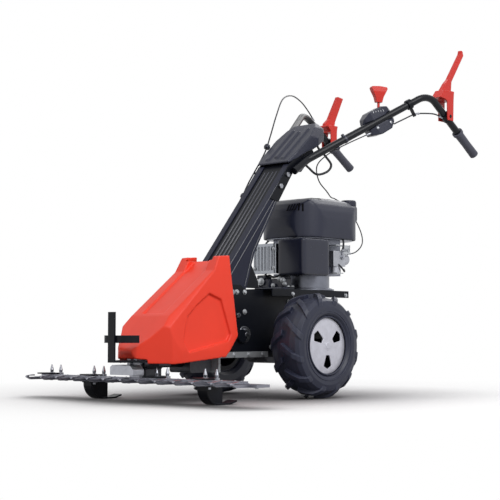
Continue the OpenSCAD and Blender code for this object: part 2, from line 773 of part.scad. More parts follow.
// Side panel sunk into the wall, parallel to the leaning side
module hood_panel(grow) {
  low = hood_front_shares[1];
  high = hood_front_shares[3];
  lean = atan2((low.x - high.x) * hood_half_w, (high.y - low.y) * hood_h);
  foot = hood_low + low.y * hood_h;
  both_sides() translate([hood_back, hood_half_w, 0]) rotate([0, 0, -hood_taper])
    translate([0, grow - panel_depth, foot]) rotate([lean, 0, 0]) translate([-hood_back, 0, -foot])
      side_slab(0, hood_half_w) polygon(inset(spread(panel_shares, [hood_l, hood_h], [hood_back,
        hood_low]), grow));
}

// Open at the rear and below, with a notch for the column between two ears
module front_hood() {
  lip = 2 * hood_wall;
  color([0.9, 0.25, 0.2]) difference() {
    hood_solid(0);
    hood_panel(0);
    hood_channel(0);
    difference() {
      for (shift = [[0, 0, 0], [-lip, 0, 0], [0, 0, -lip], [-lip, 0, -lip]]) translate(shift)
        hood_solid(hood_wall);
      hood_panel(-hood_wall);
      hood_channel(hood_wall);
    }
    box([hood_back - over, -hood_notch_half_w, hood_low + hood_notch_low_share * hood_h],
      [hood_back + hood_l, hood_notch_half_w, hood_low + hood_h + over]);
    box([carrier_front, -guard_leg_out - clear, hood_low - over],
      [hood_back + hood_apron_share * hood_l, guard_leg_out + clear, guard_foot_z + guard_t + clear]);
  }
}

// Column: two C-section beams between the chassis plates and the head bracket
beam_in = 44;
beam_out = plate_in - 2 * seat;
beam_wall = 3;
column_foot_x = 290;
column_foot_z = 316;
column_head_x = -52;
column_head_z = 762;
beam_shares = [[0.635, 0], [0.918, 0], [1, 0.06], [0, 1], [-0.067, 0.962], [0.032, 0.88], [0.48, 0.322],
  [0.59, 0.072]];

module beam() {
  size = [column_foot_x - column_head_x, column_head_z - column_foot_z];
  pts = spread(beam_shares, size, [column_head_x, column_foot_z]);
  difference() {
    side_slab(beam_in, beam_out) polygon(pts);
    side_slab(beam_in - over, beam_out - beam_wall) polygon(inset(pts, beam_wall));
    cyl_y(spacer_bolt_r + seat, beam_in, beam_out + over, spacer_at(0));
    for (at = bracket_bolts_at) cyl_y(spacer_bolt_r + seat, beam_in, beam_out + over, at);
  }
}

module column_left_beam() { color([0.17, 0.18, 0.21]) beam(); }
module column_right_beam() { color([0.17, 0.18, 0.21]) mirror([0, 1, 0]) beam(); }

// Head bracket: two cheeks outside the beams, joined by a sloping plate
cheek_in = beam_out + seat;
cheek_t = 4;
cheek_out = cheek_in + cheek_t;
bracket_l = 217;
bracket_h = 208;
bracket_back = -175;
bracket_low = 632;
cheek_shares = [[0.815, 0], [1, 0.04], [0.567, 0.625], [0.115, 1], [0, 0.88], [0.484, 0.495]];
strip_shares = [[0, 0.88], [0.4, 0.548], [0.42, 0.57], [0.02, 0.902]];
bracket_bolts_at = [[-7, 684], [-41, 725]];
tab_x = -152;
tab_z = 822;
tab_l = 14;
tab_gap = 0.3;
tab_reach_share = 0.977;

module head_bracket() {
  size = [bracket_l, bracket_h];
  from = [bracket_back, bracket_low];
  color([0.14, 0.14, 0.16]) difference() {
    union() {
      both_sides() side_slab(cheek_in, cheek_out) polygon(spread(cheek_shares, size, from));
      side_slab(-cheek_out, cheek_out) polygon(spread(strip_shares, size, from));
      both_sides() box([tab_x, cheek_in, tab_z],
        [tab_x + tab_l, tab_reach_share * console_half_w - console_wall - tab_gap, tab_z + tab_l]);
    }
    for (at = bracket_bolts_at) both_sides() cyl_y(spacer_bolt_r + seat, cheek_in - over, cheek_out +
      over, at);
  }
}

module frame_bolts() {
  color("silver") {
    for (i = [0:2]) hex_bolt_y(spacer_bolt_r, -plate_out - seat, plate_out + seat, spacer_at(i));
    for (at = bracket_bolts_at) hex_bolt_y(spacer_bolt_r, -cheek_out - seat, cheek_out + seat, at);
  }
}

// Console: a moulded cover over the head bracket and a shallow base below it
console_half_w = 80;
console_wall = 3;
console_l = 204;
console_h = 156;
console_back = -250;
console_low = 764;
console_shares = [[0.985, 0], [1, 0.05], [0.28, 0.9], [0.2, 0.99], [0.13, 1], [0, 0.73], [0.02, 0.66],
  [0.42, 0.36],
  [0.55, 0.3]];
console_front_shares = [[1, -0.1], [1, 0.62], [0.8, 0.88], [0.55, 1.01]];
console_plan_shares = [[-0.01, 0.62], [0.1, 0.86], [0.3, 1], [0.8, 0.96], [1.01, 0.84]];
base_half_w = 60;
base_drop = 24;
base_shoulder_share = 0.6;

module console_solid(w) {
  size = [console_l, console_h];
  plan = spread(console_plan_shares, [console_l, console_half_w], [console_back, 0]);
  intersection() {
    side_slab(-console_half_w - over, console_half_w + over)
      polygon(inset(spread(console_shares, size, [console_back, console_low]), w));
    front_slab(console_back - over, console_back + console_l + over)
      polygon(inset(full_front(console_front_shares, [console_half_w, console_h], console_low), w));
    translate([0, 0, console_low - over]) linear_extrude(console_h + 2 * over)
      polygon(inset(concat([for (p = plan) [p.x, -p.y]], [for (i = [len(plan) - 1:-1:0]) plan[i]]), w));
  }
}

module console_cover() {
  drop = [console_wall, 0, -2 * console_wall];
  color([0.18, 0.19, 0.23]) difference() {
    console_solid(0);
    for (shift = [[0, 0, 0], drop]) translate(shift) console_solid(console_wall);
  }
}

module console_base() {
  a = spread(strip_shares, [bracket_l, bracket_h], [bracket_back, bracket_low]);
  slope = unit(a[1] - a[0]);
  down = [slope.y, -slope.x];
  pts = [a[0] + down * seat, a[0] + down * base_drop * base_shoulder_share + slope * base_drop / 2,
    a[1] + down * base_drop - slope * base_drop, a[1] + down * seat];
  color([0.18, 0.19, 0.23]) side_slab(-base_half_w, base_half_w) polygon(pts);
}

// Engine on the deck, with a vertical crankshaft
block_low = deck_z + deck_t + seat;
flange_r = 84;
flange_t = 8;
case_r = 76;
case_top = 400;
block_half_l = 82;
block_half_w = 80;
head_t = 14;
tray_t = 6;
shroud_low = 519;
shroud_front = -80;
shroud_wall = 3;
crank_shaft_r = 12;
crank_top = 470;
engine_pulley_r = 36;
shroud_side_shares = [[0.03, 0], [0.97, 0], [1, 0.3], [1, 0.5], [0.975, 0.7], [0.93, 0.84], [0.86, 0.94],
  [0.76, 0.99],
  [0.6, 1], [0.35, 1], [0.18, 0.94], [0.08, 0.86], [0.02, 0.76], [0, 0.6], [0, 0.3]];
shroud_front_shares = [[0.97, -0.1], [1, 0.3], [1, 0.48], [0.97, 0.66], [0.9, 0.82], [0.79, 0.94], [0.6,
  1.01]];
shroud_corner_r = 92;
shroud_corner_n = 9;
shroud_lean = shroud_side_shares[0].x * shroud_l;
shroud_rise = shroud_side_shares[2].y * shroud_h;
tray_in = shroud_wall * norm([shroud_lean, shroud_rise]) / shroud_rise +
  shroud_lean * (1 - 2 * shroud_wall / shroud_rise) + seat;
vent_count = 5;
vent_low_share = 0.7;
vent_w = 5;
vent_l = 34;
vent_pitch = 11;
vent_x = -140;
vent_y = 26;
cap_x = -350;
cap_y = 78;
cap_r = 27;
cap_low = 641;
cap_h = 20;
cap_shares = [0.9, 0.7];
cap_groove_share = 1.06;
neck_boss_r = 30;

module engine_block() {
  x = -engine_back;
  color("lightgray") difference() {
    union() {
      cyl_z(flange_r, block_low, block_low + flange_t, [x, 0]);
      cyl_z(case_r, block_low, case_top, [x, 0]);
      box([x - block_half_l, -block_half_w, case_top - over], [x + block_half_l, block_half_w,
        shroud_low + tray_t / 2]);
      for (i = [0:3]) box([x, -block_half_w - head_t / 2, case_top + head_t * (2 * i + 1)],
        [x + block_half_l + head_t, block_half_w - over, case_top + head_t * (2 * i + 1.4)]);
      translate([0, 0, shroud_low]) linear_extrude(tray_t) polygon(shroud_plan(tray_in));
    }
    cyl_z(crank_shaft_r + run, block_low - over, crank_top, [x, 0]);
  }
}

module crankshaft() {
  color("silver") cyl_z(crank_shaft_r, knife_belt_z - pulley_t / 2, crank_top - seat, [-engine_back, 0]);
}

module engine_pulley() {
  color("gray") translate([-engine_back, 0, 0]) {
    translate([0, 0, drive_belt_z]) pulley(engine_pulley_r, crank_shaft_r + seat);
    translate([0, 0, knife_belt_z]) pulley(engine_pulley_r, crank_shaft_r + seat);
    difference() {
      cyl_z(engine_pulley_r - pulley_lip, knife_belt_z, drive_belt_z);
      cyl_z(crank_shaft_r + seat, knife_belt_z - over, drive_belt_z + over);
    }
  }
}

function shroud_plan(w) =
  let (corner = [shroud_front - shroud_l + w, -shroud_w / 2 + w], size = [shroud_l - 2 * w,
    shroud_w - 2 * w])
  rounded(spread([[0, 0], [1, 0], [1, 1], [0, 1]], size, corner), shroud_corner_r - w, shroud_corner_n);

module shroud_solid(w) {
  intersection() {
    side_slab(-shroud_w, shroud_w)
      polygon(inset(spread(shroud_side_shares, [shroud_l, shroud_h], [shroud_front - shroud_l,
        shroud_low]), w));
    translate([0, 0, shroud_low - over]) linear_extrude(shroud_h + 2 * over) polygon(shroud_plan(w));
    front_slab(shroud_front - shroud_l - over, shroud_front + over)
      polygon(inset(full_front(shroud_front_shares, [shroud_w / 2, shroud_h], shroud_low), w));
  }
}

module engine_shroud() {
  color([0.16, 0.17, 0.2]) difference() {
    union() {
      shroud_solid(0);
      cyl_z(neck_boss_r, shroud_low + shroud_h / 2, cap_low - seat, [cap_x, cap_y]);
    }
    difference() {
      for (drop = [0, 2 * shroud_wall]) translate([0, 0, -drop]) shroud_solid(shroud_wall);
      cyl_z(neck_boss_r + shroud_wall, shroud_low + shroud_h / 2, cap_low, [cap_x, cap_y]);
    }
    cyl_z(neck_boss_r, cap_low - seat, shroud_low + shroud_h + over, [cap_x, cap_y]);
    for (i = [0:vent_count - 1]) box([vent_x - i * vent_pitch, vent_y, shroud_low +
      shroud_h * vent_low_share],
      [vent_x - i * vent_pitch + vent_w, vent_y + vent_l * 2, shroud_low + shroud_h + over]);
  }
}

module fuel_cap() {
  color([0.12, 0.12, 0.14]) translate([cap_x, cap_y, cap_low]) difference() {
    rotate_extrude() polygon([[0, 0], [cap_r, 0], [cap_r, cap_h * cap_shares.y], [cap_r * cap_shares.x,
      cap_h], [0, cap_h]]);
    for (i = [0:11]) rotate([0, 0, i * 30]) 
      translate([cap_r * cap_groove_share, 0, -over]) cylinder(r = cap_r / 9, h = cap_h + 2 * over);
  }
}

filter_front = -50;
filter_back = -186;
filter_in = 15;
filter_out = 132;
filter_notch_x = block_half_l + head_t + seat - engine_back;
filter_low = 393;
filter_h = 122;
filter_r = 9;

module air_filter_box() {
  plan = [[filter_front, filter_in], [filter_front, filter_out], [filter_back, filter_out],
    [filter_back, block_half_w + head_t / 2], [filter_notch_x, block_half_w + head_t / 2],
      [filter_notch_x, filter_in]];
  color([0.13, 0.14, 0.17]) translate([0, 0, filter_low]) linear_extrude(filter_h) polygon(rounded(plan,
    filter_r));
}

muffler_half = 52;
muffler_y = -44;
muffler_low = 402;
muffler_h = 100;
muffler_rib = 5;

module muffler() {
  back = filter_notch_x;
  size = [filter_front - back, 2 * muffler_half];
  plan = spread([[0, 0], [1, 0], [1, 1], [0, 1]], size, [back, muffler_y - muffler_half]);
  color("silver") difference() {
    translate([0, 0, muffler_low]) linear_extrude(muffler_h) polygon(rounded(plan, filter_r));
    for (i = [0:5]) translate([filter_front, muffler_y + (i - 2.5) * 3 * muffler_rib, muffler_low +
      2 * muffler_rib])
      cylinder(r = muffler_rib, h = muffler_h - 4 * muffler_rib);
  }
}

carb_x = -246;
carb_in = block_half_w + seat;
carb_l = 62;
carb_out = 122;
carb_low = 428;
carb_h = 52;
bowl_r = 24;
bowl_step_share = 0.8;
bowl_h = 25;
arm_r = 8;
arm_l = 30;
arm_t = 3;
arm_pin_r = 3;
arm_x = carb_x - carb_l / 4;
arm_z_share = 0.6;
arm_z = carb_low + carb_h * arm_z_share;

module carburettor() {
  mid = (carb_in + carb_out) / 2;
  color("silver") {
    box([carb_x - carb_l / 2, carb_in, carb_low], [carb_x + carb_l / 2, carb_out, carb_low + carb_h]);
    cyl_z(bowl_r - (carb_out - mid) / 6, carb_low - bowl_h, carb_low + over, [carb_x, mid]);
    cyl_x(bowl_r * bowl_step_share, carb_x - carb_l / 2 - bowl_h, carb_x - carb_l / 2 + over, [mid,
      carb_low + carb_h / 2]);
    cyl_y(arm_pin_r, carb_out - over, carb_out + arm_t + 4 * clear, [arm_x, arm_z]);
  }
}

module throttle_arm() {
  low = carb_out + clear / 2;
  color("gold") difference() {
    union() {
      cyl_y(arm_r, low, low + arm_t, [arm_x, arm_z]);
      box([arm_x - arm_r / 2, low, arm_z], [arm_x + arm_r / 2, low + arm_t, arm_z + arm_l]);
    }
    cyl_y(arm_pin_r + run, low - over, low + arm_t + over, [arm_x, arm_z]);
  }
}

// Belts: loops round two pulleys, clear of the grooves
belt_h = 5;
belt_t = 8;
belt_gap = 0.3;

function belt_line(x0, r0, x1, r1) =
  let (a = acos((r0 - r1) / (x1 - x0)))
  concat([for (i = [0:12]) [x1 + r1 * cos(-a + 2 * a * i / 12), r1 * sin(-a + 2 * a * i / 12)]],
    [for (i = [0:12]) let (t = a + (360 - 2 * a) * i / 12) [x0 + r0 * cos(t), r0 * sin(t)]]);

module belt(x0, r0, x1, r1, z) {
  inner0 = r0 - pulley_lip + belt_gap;
  inner1 = r1 - pulley_lip + belt_gap;
  translate([0, 0, z - belt_h / 2]) difference() {
    linear_extrude(belt_h) polygon(belt_line(x0, inner0 / cos(15) + belt_t, x1, inner1 / cos(15) + belt_t));
    translate([0, 0, -over]) linear_extrude(belt_h + 2 * over)
      polygon(belt_line(x0, inner0 / cos(15), x1, inner1 / cos(15)));
  }
}

module drive_belts() {
  color([0.1, 0.1, 0.1]) {
    belt(-engine_back, engine_pulley_r, input_x, gearbox_pulley_r, drive_belt_z);
    belt(-engine_back, engine_pulley_r, kbox_x, knife_pulley_r, knife_belt_z);
  }
}

// Belt idlers: an arm on a fixed pin, with a pulley on a pin of the arm
idler_pin_r = 5;
idler_arm_t = 6;
idler_hub_r = 10;
idler_neck_share = 0.72;
idler_r = 15;
idler_t = 10;
knife_idler_at = [spacer_at(1).x, 18];
knife_idler_end = [236, -20];
knife_arm_z = knife_belt_z - idler_t / 2 - clear - idler_arm_t;
drive_idler_at = [-120, 14];
drive_idler_end = [-84, -16];
drive_arm_z = drive_belt_z + idler_t / 2 + clear;

module idler_arm(from, to, z, pin_z0, pin_z1) {
  d = unit(to - from);
  n = idler_neck_share * idler_hub_r * [-d.y, d.x];
  translate([0, 0, z]) linear_extrude(idler_arm_t) difference() {
    union() {
      for (p = [from, to]) translate(p) circle(r = idler_hub_r);
      polygon([from + n, from - n, to - n, to + n]);
    }
    translate(from) circle(r = idler_pin_r + run);
  }
  cyl_z(idler_pin_r, pin_z0, pin_z1, to);
}

module idler_pulley(at, z) {
  translate([0, 0, z - idler_t / 2]) difference() {
    cyl_z(idler_r, 0, idler_t, at);
    cyl_z(idler_pin_r + run, -over, idler_t + over, at);
  }
}

module knife_idler_arm() {
  color("dimgray") idler_arm(knife_idler_at, knife_idler_end, knife_arm_z, knife_arm_z, knife_belt_z +
    idler_t / 2);
}
module knife_idler_pulley() { color("gray") idler_pulley(knife_idler_end, knife_belt_z); }
module drive_idler_arm() {
  color("dimgray") idler_arm(drive_idler_at, drive_idler_end, drive_arm_z, drive_belt_z - idler_t / 2,
    drive_arm_z + idler_arm_t);
}
module drive_idler_pulley() { color("gray") idler_pulley(drive_idler_end, drive_belt_z); }

// Handlebar: two bent tubes outside the cheeks of the head bracket
tube_r = bar_tube_d / 2;
tube_foot = [-60, cheek_out + tube_r + 3 * seat, 737];
tube_knee = [-130, tube_foot.y, 783];
tube_bend = [-bend_back, bend_y, bend_z];
grip_way = [-cos(grip_slope), 0, -sin(grip_slope)];
tube_end = tube_bend + grip_run * grip_way;
knee_r = 60;
bend_r = 70;
grip_cap = 5;
grip_waist_share = 0.94;
collar_r = 19.5;
collar_l = 9;
front_reach = guard_front;
rear_reach = bend_back + (grip_run + grip_cap) * cos(grip_slope) + grip_d / 2 * sin(grip_slope);
axle_x = (rear_reach - front_reach) / 2;

module place() { translate([axle_x, 0, 0]) children(); }

// Turns the local Z axis along d at the point a
module aim(a, d) { translate(a) rotate([0, acos(d.z / norm(d)), atan2(d.y, d.x)]) children(); }

function bend_reach(a, b, c, r) = r / tan(acos(unit(a - b) * unit(c - b)) / 2);

// Part of a torus that joins the legs a-b and b-c
module elbow(a, b, c, r) {
  u = unit(a - b);
  v = unit(c - b);
  half = acos(u * v) / 2;
  m = b + unit(u + v) * r / sin(half);
  ex = unit(b + u * r / tan(half) - m);
  ez = unit(cross(ex, b + v * r / tan(half) - m));
  ey = cross(ez, ex);
  multmatrix([[ex.x, ey.x, ez.x, m.x], [ex.y, ey.y, ez.y, m.y], [ex.z, ey.z, ez.z, m.z], [0, 0, 0, 1]])
    rotate_extrude(angle = 180 - 2 * half) translate([r, 0]) tube_section(seat);
}

// The wall swells a little in the bends, and the straight legs end inside it
module tube_section(swell) {
  difference() {
    circle(r = tube_r + swell);
    circle(r = tube_r - bar_tube_wall - swell);
  }
}

module tube_leg(a, b) { aim(a, b - a) linear_extrude(norm(b - a)) tube_section(0); }

module handlebar_tubes() {
  k = bend_reach(tube_foot, tube_knee, tube_bend, knee_r);
  n = bend_reach(tube_knee, tube_bend, tube_end, bend_r);
  arm = unit(tube_bend - tube_knee);
  color([0.15, 0.15, 0.17]) both_sides() {
    tube_leg(tube_foot, tube_knee + unit(tube_foot - tube_knee) * (k - clear));
    elbow(tube_foot, tube_knee, tube_bend, knee_r);
    tube_leg(tube_knee + arm * (k - clear), tube_bend - arm * (n - clear));
    elbow(tube_knee, tube_bend, tube_end, bend_r);
    tube_leg(tube_bend + grip_way * (n - clear), tube_end);
  }
}

module grips() {
  bore = tube_r + seat;
  profile = [[bore, 0], [collar_r, 0], [collar_r, collar_l], [grip_d / 2, collar_l + collar_l / 3],
    [grip_d / 2 * grip_waist_share, grip_l / 2], [grip_d / 2, grip_l], [grip_d / 2, grip_l + grip_cap],
      [0, grip_l + grip_cap],
    [0, grip_l + seat], [bore, grip_l + seat]];
  color([0.2, 0.2, 0.24]) both_sides() aim(tube_end - grip_way * grip_l, grip_way) rotate_extrude()
    polygon(profile);
}

// Clutch levers: forks over the tube, each turning on the trunnions of a clamp
left_pivot_run = 124;
right_pivot_run = 180;
clamp_r = 15.5;
clamp_l = 30;
trunnion_r = 6;
fork_gap = 1.5;
left_fork_in = clamp_r + fork_gap;
right_fork_in = collar_r + clear;
lever_t = 3.5;
blade_half_w = 7;
left_lever_shares = [[-0.067, -0.056], [0.067, -0.056], [0.071, 0.2], [0.12, 0.235], [0.23, 0.245], [0.2,
  0.28],
  [0.035, 0.47], [-0.045, 0.54], [-0.35, 0.95], [-0.365, 1], [-0.4, 0.99], [-0.415, 0.93], [-0.11, 0.51],
  [-0.08, 0.24]];
right_lever_shares = [[-0.085, -0.075], [0.085, -0.075], [0.095, 0.25], [0.18, 0.33], [0.16, 0.4], [0.04,
  0.5],
  [-0.25, 1], [-0.41, 0.98], [-0.15, 0.47], [-0.1, 0.27]];
bridge_low_share = 0.22;
bridge_high_share = 0.36;
left_pivot = tube_bend + left_pivot_run * grip_way;
right_pivot_left = tube_bend + right_pivot_run * grip_way;

module lever_clamp(run_at, fork_in) {
  reach = fork_in + lever_t + clear;
  p = tube_bend + run_at * grip_way;
  difference() {
    union() {
      aim(p - grip_way * clamp_l / 2, grip_way) cylinder(r = clamp_r, h = clamp_l);
      cyl_y(trunnion_r, p.y - reach, p.y + reach, [p.x, p.z]);
    }
    aim(p - grip_way * clamp_l, grip_way) cylinder(r = tube_r + seat, h = 2 * clamp_l);
  }
}

module lever_brackets() {
  color([0.15, 0.15, 0.17]) {
    lever_clamp(left_pivot_run, left_fork_in);
    mirror([0, 1, 0]) lever_clamp(right_pivot_run, right_fork_in);
  }
}

// Fork cheeks, a bridge over the tube and a narrow blade, all cut from one outline
module clutch_lever(pivot, h, shares, fork_in) {
  fork_out = fork_in + lever_t;
  outline = spread(shares, [h, h], [pivot.x, pivot.z]);
  low = pivot.z + bridge_low_share * h;
  high = pivot.z + bridge_high_share * h;
  top = pivot.z + h + over;
  y = pivot.y;
  difference() {
    side_slab(y - fork_out, y + fork_out) polygon(outline);
    box([pivot.x - h, y - fork_in, pivot.z - h], [pivot.x + h, y + fork_in, low]);
    for (side = [-1, 1]) box([pivot.x - h, y + (side - 1) / 2 * h + side * blade_half_w, high],
      [pivot.x + h, y + (side + 1) / 2 * h + side * blade_half_w, top]);
    cyl_y(trunnion_r + run, y - fork_out - over, y + fork_out + over, [pivot.x, pivot.z]);
  }
}

module left_lever() { color([0.85, 0.15, 0.12]) clutch_lever(left_pivot, left_lever_h, left_lever_shares,
  left_fork_in); }
module right_lever() {
  color([0.85, 0.15, 0.12]) mirror([0, 1, 0]) clutch_lever(right_pivot_left, right_lever_h,
    right_lever_shares, right_fork_in);
}

// Throttle pod on the left arm, in a frame whose X axis runs up the arm
pod_at_share = 0.586;
arm_way = unit(tube_bend - tube_knee);
arm_up = unit([0, 0, 1] - arm_way.z * arm_way);
arm_side = cross(arm_up, arm_way);
pod_at = tube_knee + (tube_bend - tube_knee) * pod_at_share;
pod_half_l = 60;
pod_half_w = 31;
pod_y = 21;
pod_high = 41;
pod_deep = 45;
pod_wall = 4;
pod_upper_shares = [[-1, 0], [1, 0], [0.98, 0.3], [0.8, 0.78], [0.4, 1], [-0.4, 1], [-0.85, 0.68], [-1,
  0.3]];
pod_lower_shares = [[-0.86, -0.75], [-0.25, -1], [0.45, -0.95], [0.92, -0.5], [1, 0], [-0.86, 0]];
pod_plan_shares = [[-1, 0.3], [-0.8, 0.72], [-0.4, 1], [0.4, 1], [0.8, 0.72], [1, 0.3]];
throttle_z = 25;
throttle_x = 20;
throttle_pin_r = 4;
throttle_hub_r = 9;
throttle_hub_half_w = 8;
throttle_lean = 30;
throttle_sweep = 62;
throttle_past = 14;
stalk_t = 7;
stalk_top = 34;
knob_h = 54;
knob_shares = [[-0.2, 0], [0.2, 0], [0.28, 0.35], [0.56, 0.9], [0.5, 1], [0, 1.04], [-0.5, 1], [-0.56,
  0.9], [-0.28, 0.35]];
knob_half_t = 11;
stop_run = 128;
stop_l = 16;
stop_drop = 46;
stop_t = 5;

module on_arm() {
  multmatrix([[arm_way.x, arm_side.x, arm_up.x, pod_at.x], [arm_way.y, arm_side.y, arm_up.y, pod_at.y],
    [arm_way.z, arm_side.z, arm_up.z, pod_at.z], [0, 0, 0, 1]]) children();
}

module pod_half(shares, size) {
  intersection() {
    side_slab(pod_y - pod_half_w, pod_y + pod_half_w) polygon(spread(shares, size));
    translate([0, 0, -pod_deep - over]) linear_extrude(pod_deep + pod_high + 2 * over) polygon(
      concat([for (s = pod_plan_shares) [s.x * pod_half_l, pod_y - s.y * pod_half_w]],
        [for (i = [5:-1:0]) [pod_plan_shares[i].x * pod_half_l, pod_y +
          pod_plan_shares[i].y * pod_half_w]]));
  }
}

module throttle_pod() {
  slot = stalk_t / 2 + clear;
  reach = throttle_hub_r + 2 * clear;
  high = throttle_lean + throttle_past;
  low = throttle_lean - throttle_sweep;
  color([0.16, 0.17, 0.21]) on_arm() {
    difference() {
      translate([0, 0, seat]) pod_half(pod_upper_shares, [pod_half_l, pod_high]);
      cyl_x(tube_r + seat, -pod_half_l - over, pod_half_l + over);
      translate([throttle_x, pod_y, throttle_z]) {
        box([-reach, -throttle_hub_half_w - clear, -reach], [reach, throttle_hub_half_w + clear,
          pod_high - pod_wall - throttle_z]);
        side_slab(-slot, slot) polygon([[slot, 0], [slot + pod_deep * sin(high), pod_deep * cos(high)],
          [pod_deep * sin(low) - slot, pod_deep * cos(low)], [-slot, 0]]);
      }
    }
    translate([throttle_x, pod_y, throttle_z])
      cyl_y(throttle_pin_r, -throttle_hub_half_w - clear - over, throttle_hub_half_w + clear + over);
    difference() {
      translate([0, 0, -seat]) pod_half(pod_lower_shares, [pod_half_l, pod_deep]);
      cyl_x(tube_r + seat, -pod_half_l - over, pod_half_l + over);
    }
  }
}

module throttle_lever() {
  half = stalk_t / 2;
  knob = spread(knob_shares, [knob_h, knob_h], [0, stalk_top]);
  color([0.88, 0.2, 0.16]) on_arm() translate([throttle_x, pod_y, throttle_z])
    rotate([0, throttle_lean, 0]) difference() {
    union() {
      cyl_y(throttle_hub_r, -throttle_hub_half_w, throttle_hub_half_w);
      box([-half, -half, 0], [half, half, stalk_top + over]);
      intersection() {
        side_slab(-knob_half_t, knob_half_t) polygon(knob);
        front_slab(-knob_h, knob_h) polygon(spread([[-0.7, 0], [0.7, 0], [1, 0.7], [0.8, 1.1], [-0.8,
          1.1], [-1, 0.7]],
          [knob_half_t, knob_h], [0, stalk_top]));
      }
    }
    cyl_y(throttle_pin_r + run, -throttle_hub_half_w - over, throttle_hub_half_w + over);
  }
}

module cable_stop() {
  color([0.15, 0.15, 0.17]) on_arm() translate([stop_run, 0, 0]) {
    difference() {
      cyl_x(tube_r + stop_t, -stop_l / 2, stop_l / 2);
      cyl_x(tube_r + seat, -stop_l, stop_l);
    }
    box([-stop_t / 2, -stop_l / 2, -stop_drop], [stop_t / 2, stop_l / 2, -tube_r - stop_t / 2]);
  }
}

// Bowden cables: hand-chosen points, joined by a smooth curve and swept with a round section
cable_r = 2.5;
loop_r = 4;
throttle_cable_r = 2;
cable_sides = 8;
knife_cable_at = [[-596, -287, 1014], [-555, -281, 1046], [-480, -252, 1068], [-385, -213, 1072], [-285,
  -168, 1040],
  [-200, -122, 965], [-140, -97, 880], [-100, -88, 815], [-20, -83, 712], [14, -81, 662], [80, -69, 585]];
drive_cable_at = [[-487.5, 262.7, 960.6], [-520, 275, 965], [-572, 285, 968], [-618.5, 287, 961]];
drive_wire_at = [[-416.2, 226.86, 920.95], [-482, 260, 957.6]];
drive_loop_at = [[-188, 72.7, 852], [-194, 74, 830], [-212, 92, 800], [-226, 104, 772], [-212, 98, 748],
  [-176, 83, 737],
  [-147, 71, 758], [-139, 60.4, 771]];
throttle_cable_at = [[-337.5, 187.2, 884.3], [-261, 147.7, 844], [-199, 116.5, 806], [-160, 98, 764],
  [-174, 93, 715],
  [-225, 86, 682], [-275, 62, 669], [-325, 40, 668], [-378, 46, 645], [-406, 66, 595], [-405, 92, 545],
    [-375, 116, 508],
  [-335, 121, 481], [-292, 117.2, 470.2]];

function curve(p, steps) =
  let (k = len(p) - 1)
  concat([for (i = [0:k - 1], j = [0:steps - 1])
    let (t = j / steps, a = p[max(i - 1, 0)], b = p[i], c = p[i + 1], d = p[min(i + 2, k)])
    b + t * (c - a) / 2 + t * t * (2 * a - 5 * b + 4 * c - d) / 2 + t * t * t * (3 * b - a - 3 * c +
      d) / 2], [p[k]]);
function ways(p) = [for (i = [0:len(p) - 1]) unit(p[min(i + 1, len(p) - 1)] - p[max(i - 1, 0)])];
function carried(w, up, i = 0) = i == len(w) ? [] :
  let (n = unit(up - (up * w[i]) * w[i])) concat([n], carried(w, n, i + 1));

module cable(p, r, steps) {
  line = curve(p, steps);
  way = ways(line);
  up = carried(way, [0.1, 0.3, 0.9]);
  k = len(line);
  m = cable_sides;
  points = [for (i = [0:k - 1], j = [0:m - 1])
    line[i] + r * (cos(360 * j / m) * up[i] + sin(360 * j / m) * cross(way[i], up[i]))];
  faces = [for (i = [0:k - 2], j = [0:m - 1], half = [0, 1])
    let (a = i * m + j, b = i * m + (j + 1) % m) half == 0 ? [a, a + m, b + m] : [a, b + m, b]];
  polyhedron(points, concat([[for (j = [0:m - 1]) j]], faces, [[for (j = [m - 1:-1:0]) (k - 1) * m + j]]));
}

module cables() {
  color([0.1, 0.1, 0.11]) {
    cable(knife_cable_at, cable_r, 2);
    cable(drive_cable_at, cable_r, 2);
    cable(drive_wire_at, cable_r, 1);
    cable(drive_loop_at, loop_r, 3);
    cable(throttle_cable_at, throttle_cable_r, 2);
  }
}

place() axle_shaft();
place() wheel_rims();
place() left_tyre();
place() right_tyre();
place() wheel_covers();
place() axle_gearbox();
place() axle_bearings();
place() gearbox_input_shaft();
place() gearbox_pulley();
place() left_side_plate();
place() right_side_plate();
place() frame_spacers();
place() frame_bolts();
place() neck_rails();
place() engine_deck();
place() knife_gearbox();
place() knife_input_shaft();
place() knife_pulley();
place() neck_tube();
place() bar_carrier();
place() drive_shaft();
place() finger_bar();
place() hold_down_clips();
place() clip_bolts();
place() knife();
place() knife_head();
place() left_skid();
place() right_skid();
place() skid_bolts();
place() guard_post();
place() guard_bow();
place() front_hood();
place() column_left_beam();
place() column_right_beam();
place() head_bracket();
place() console_cover();
place() console_base();
place() engine_block();
place() crankshaft();
place() engine_pulley();
place() engine_shroud();
place() fuel_cap();
place() air_filter_box();
place() muffler();
place() carburettor();
place() throttle_arm();
place() drive_belts();
place() knife_idler_arm();
place() knife_idler_pulley();
place() drive_idler_arm();
place() drive_idler_pulley();
place() handlebar_tubes();
place() grips();
place() lever_brackets();
place() left_lever();
place() right_lever();
place() throttle_pod();
place() throttle_lever();
place() cable_stop();
place() cables();
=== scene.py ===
"""Looks of a walk-behind sickle bar mower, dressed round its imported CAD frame."""
import math

import bmesh
import bpy
from bpy.props import FloatProperty, FloatVectorProperty, PointerProperty
from mathutils import Matrix, Vector
from mathutils.bvhtree import BVHTree


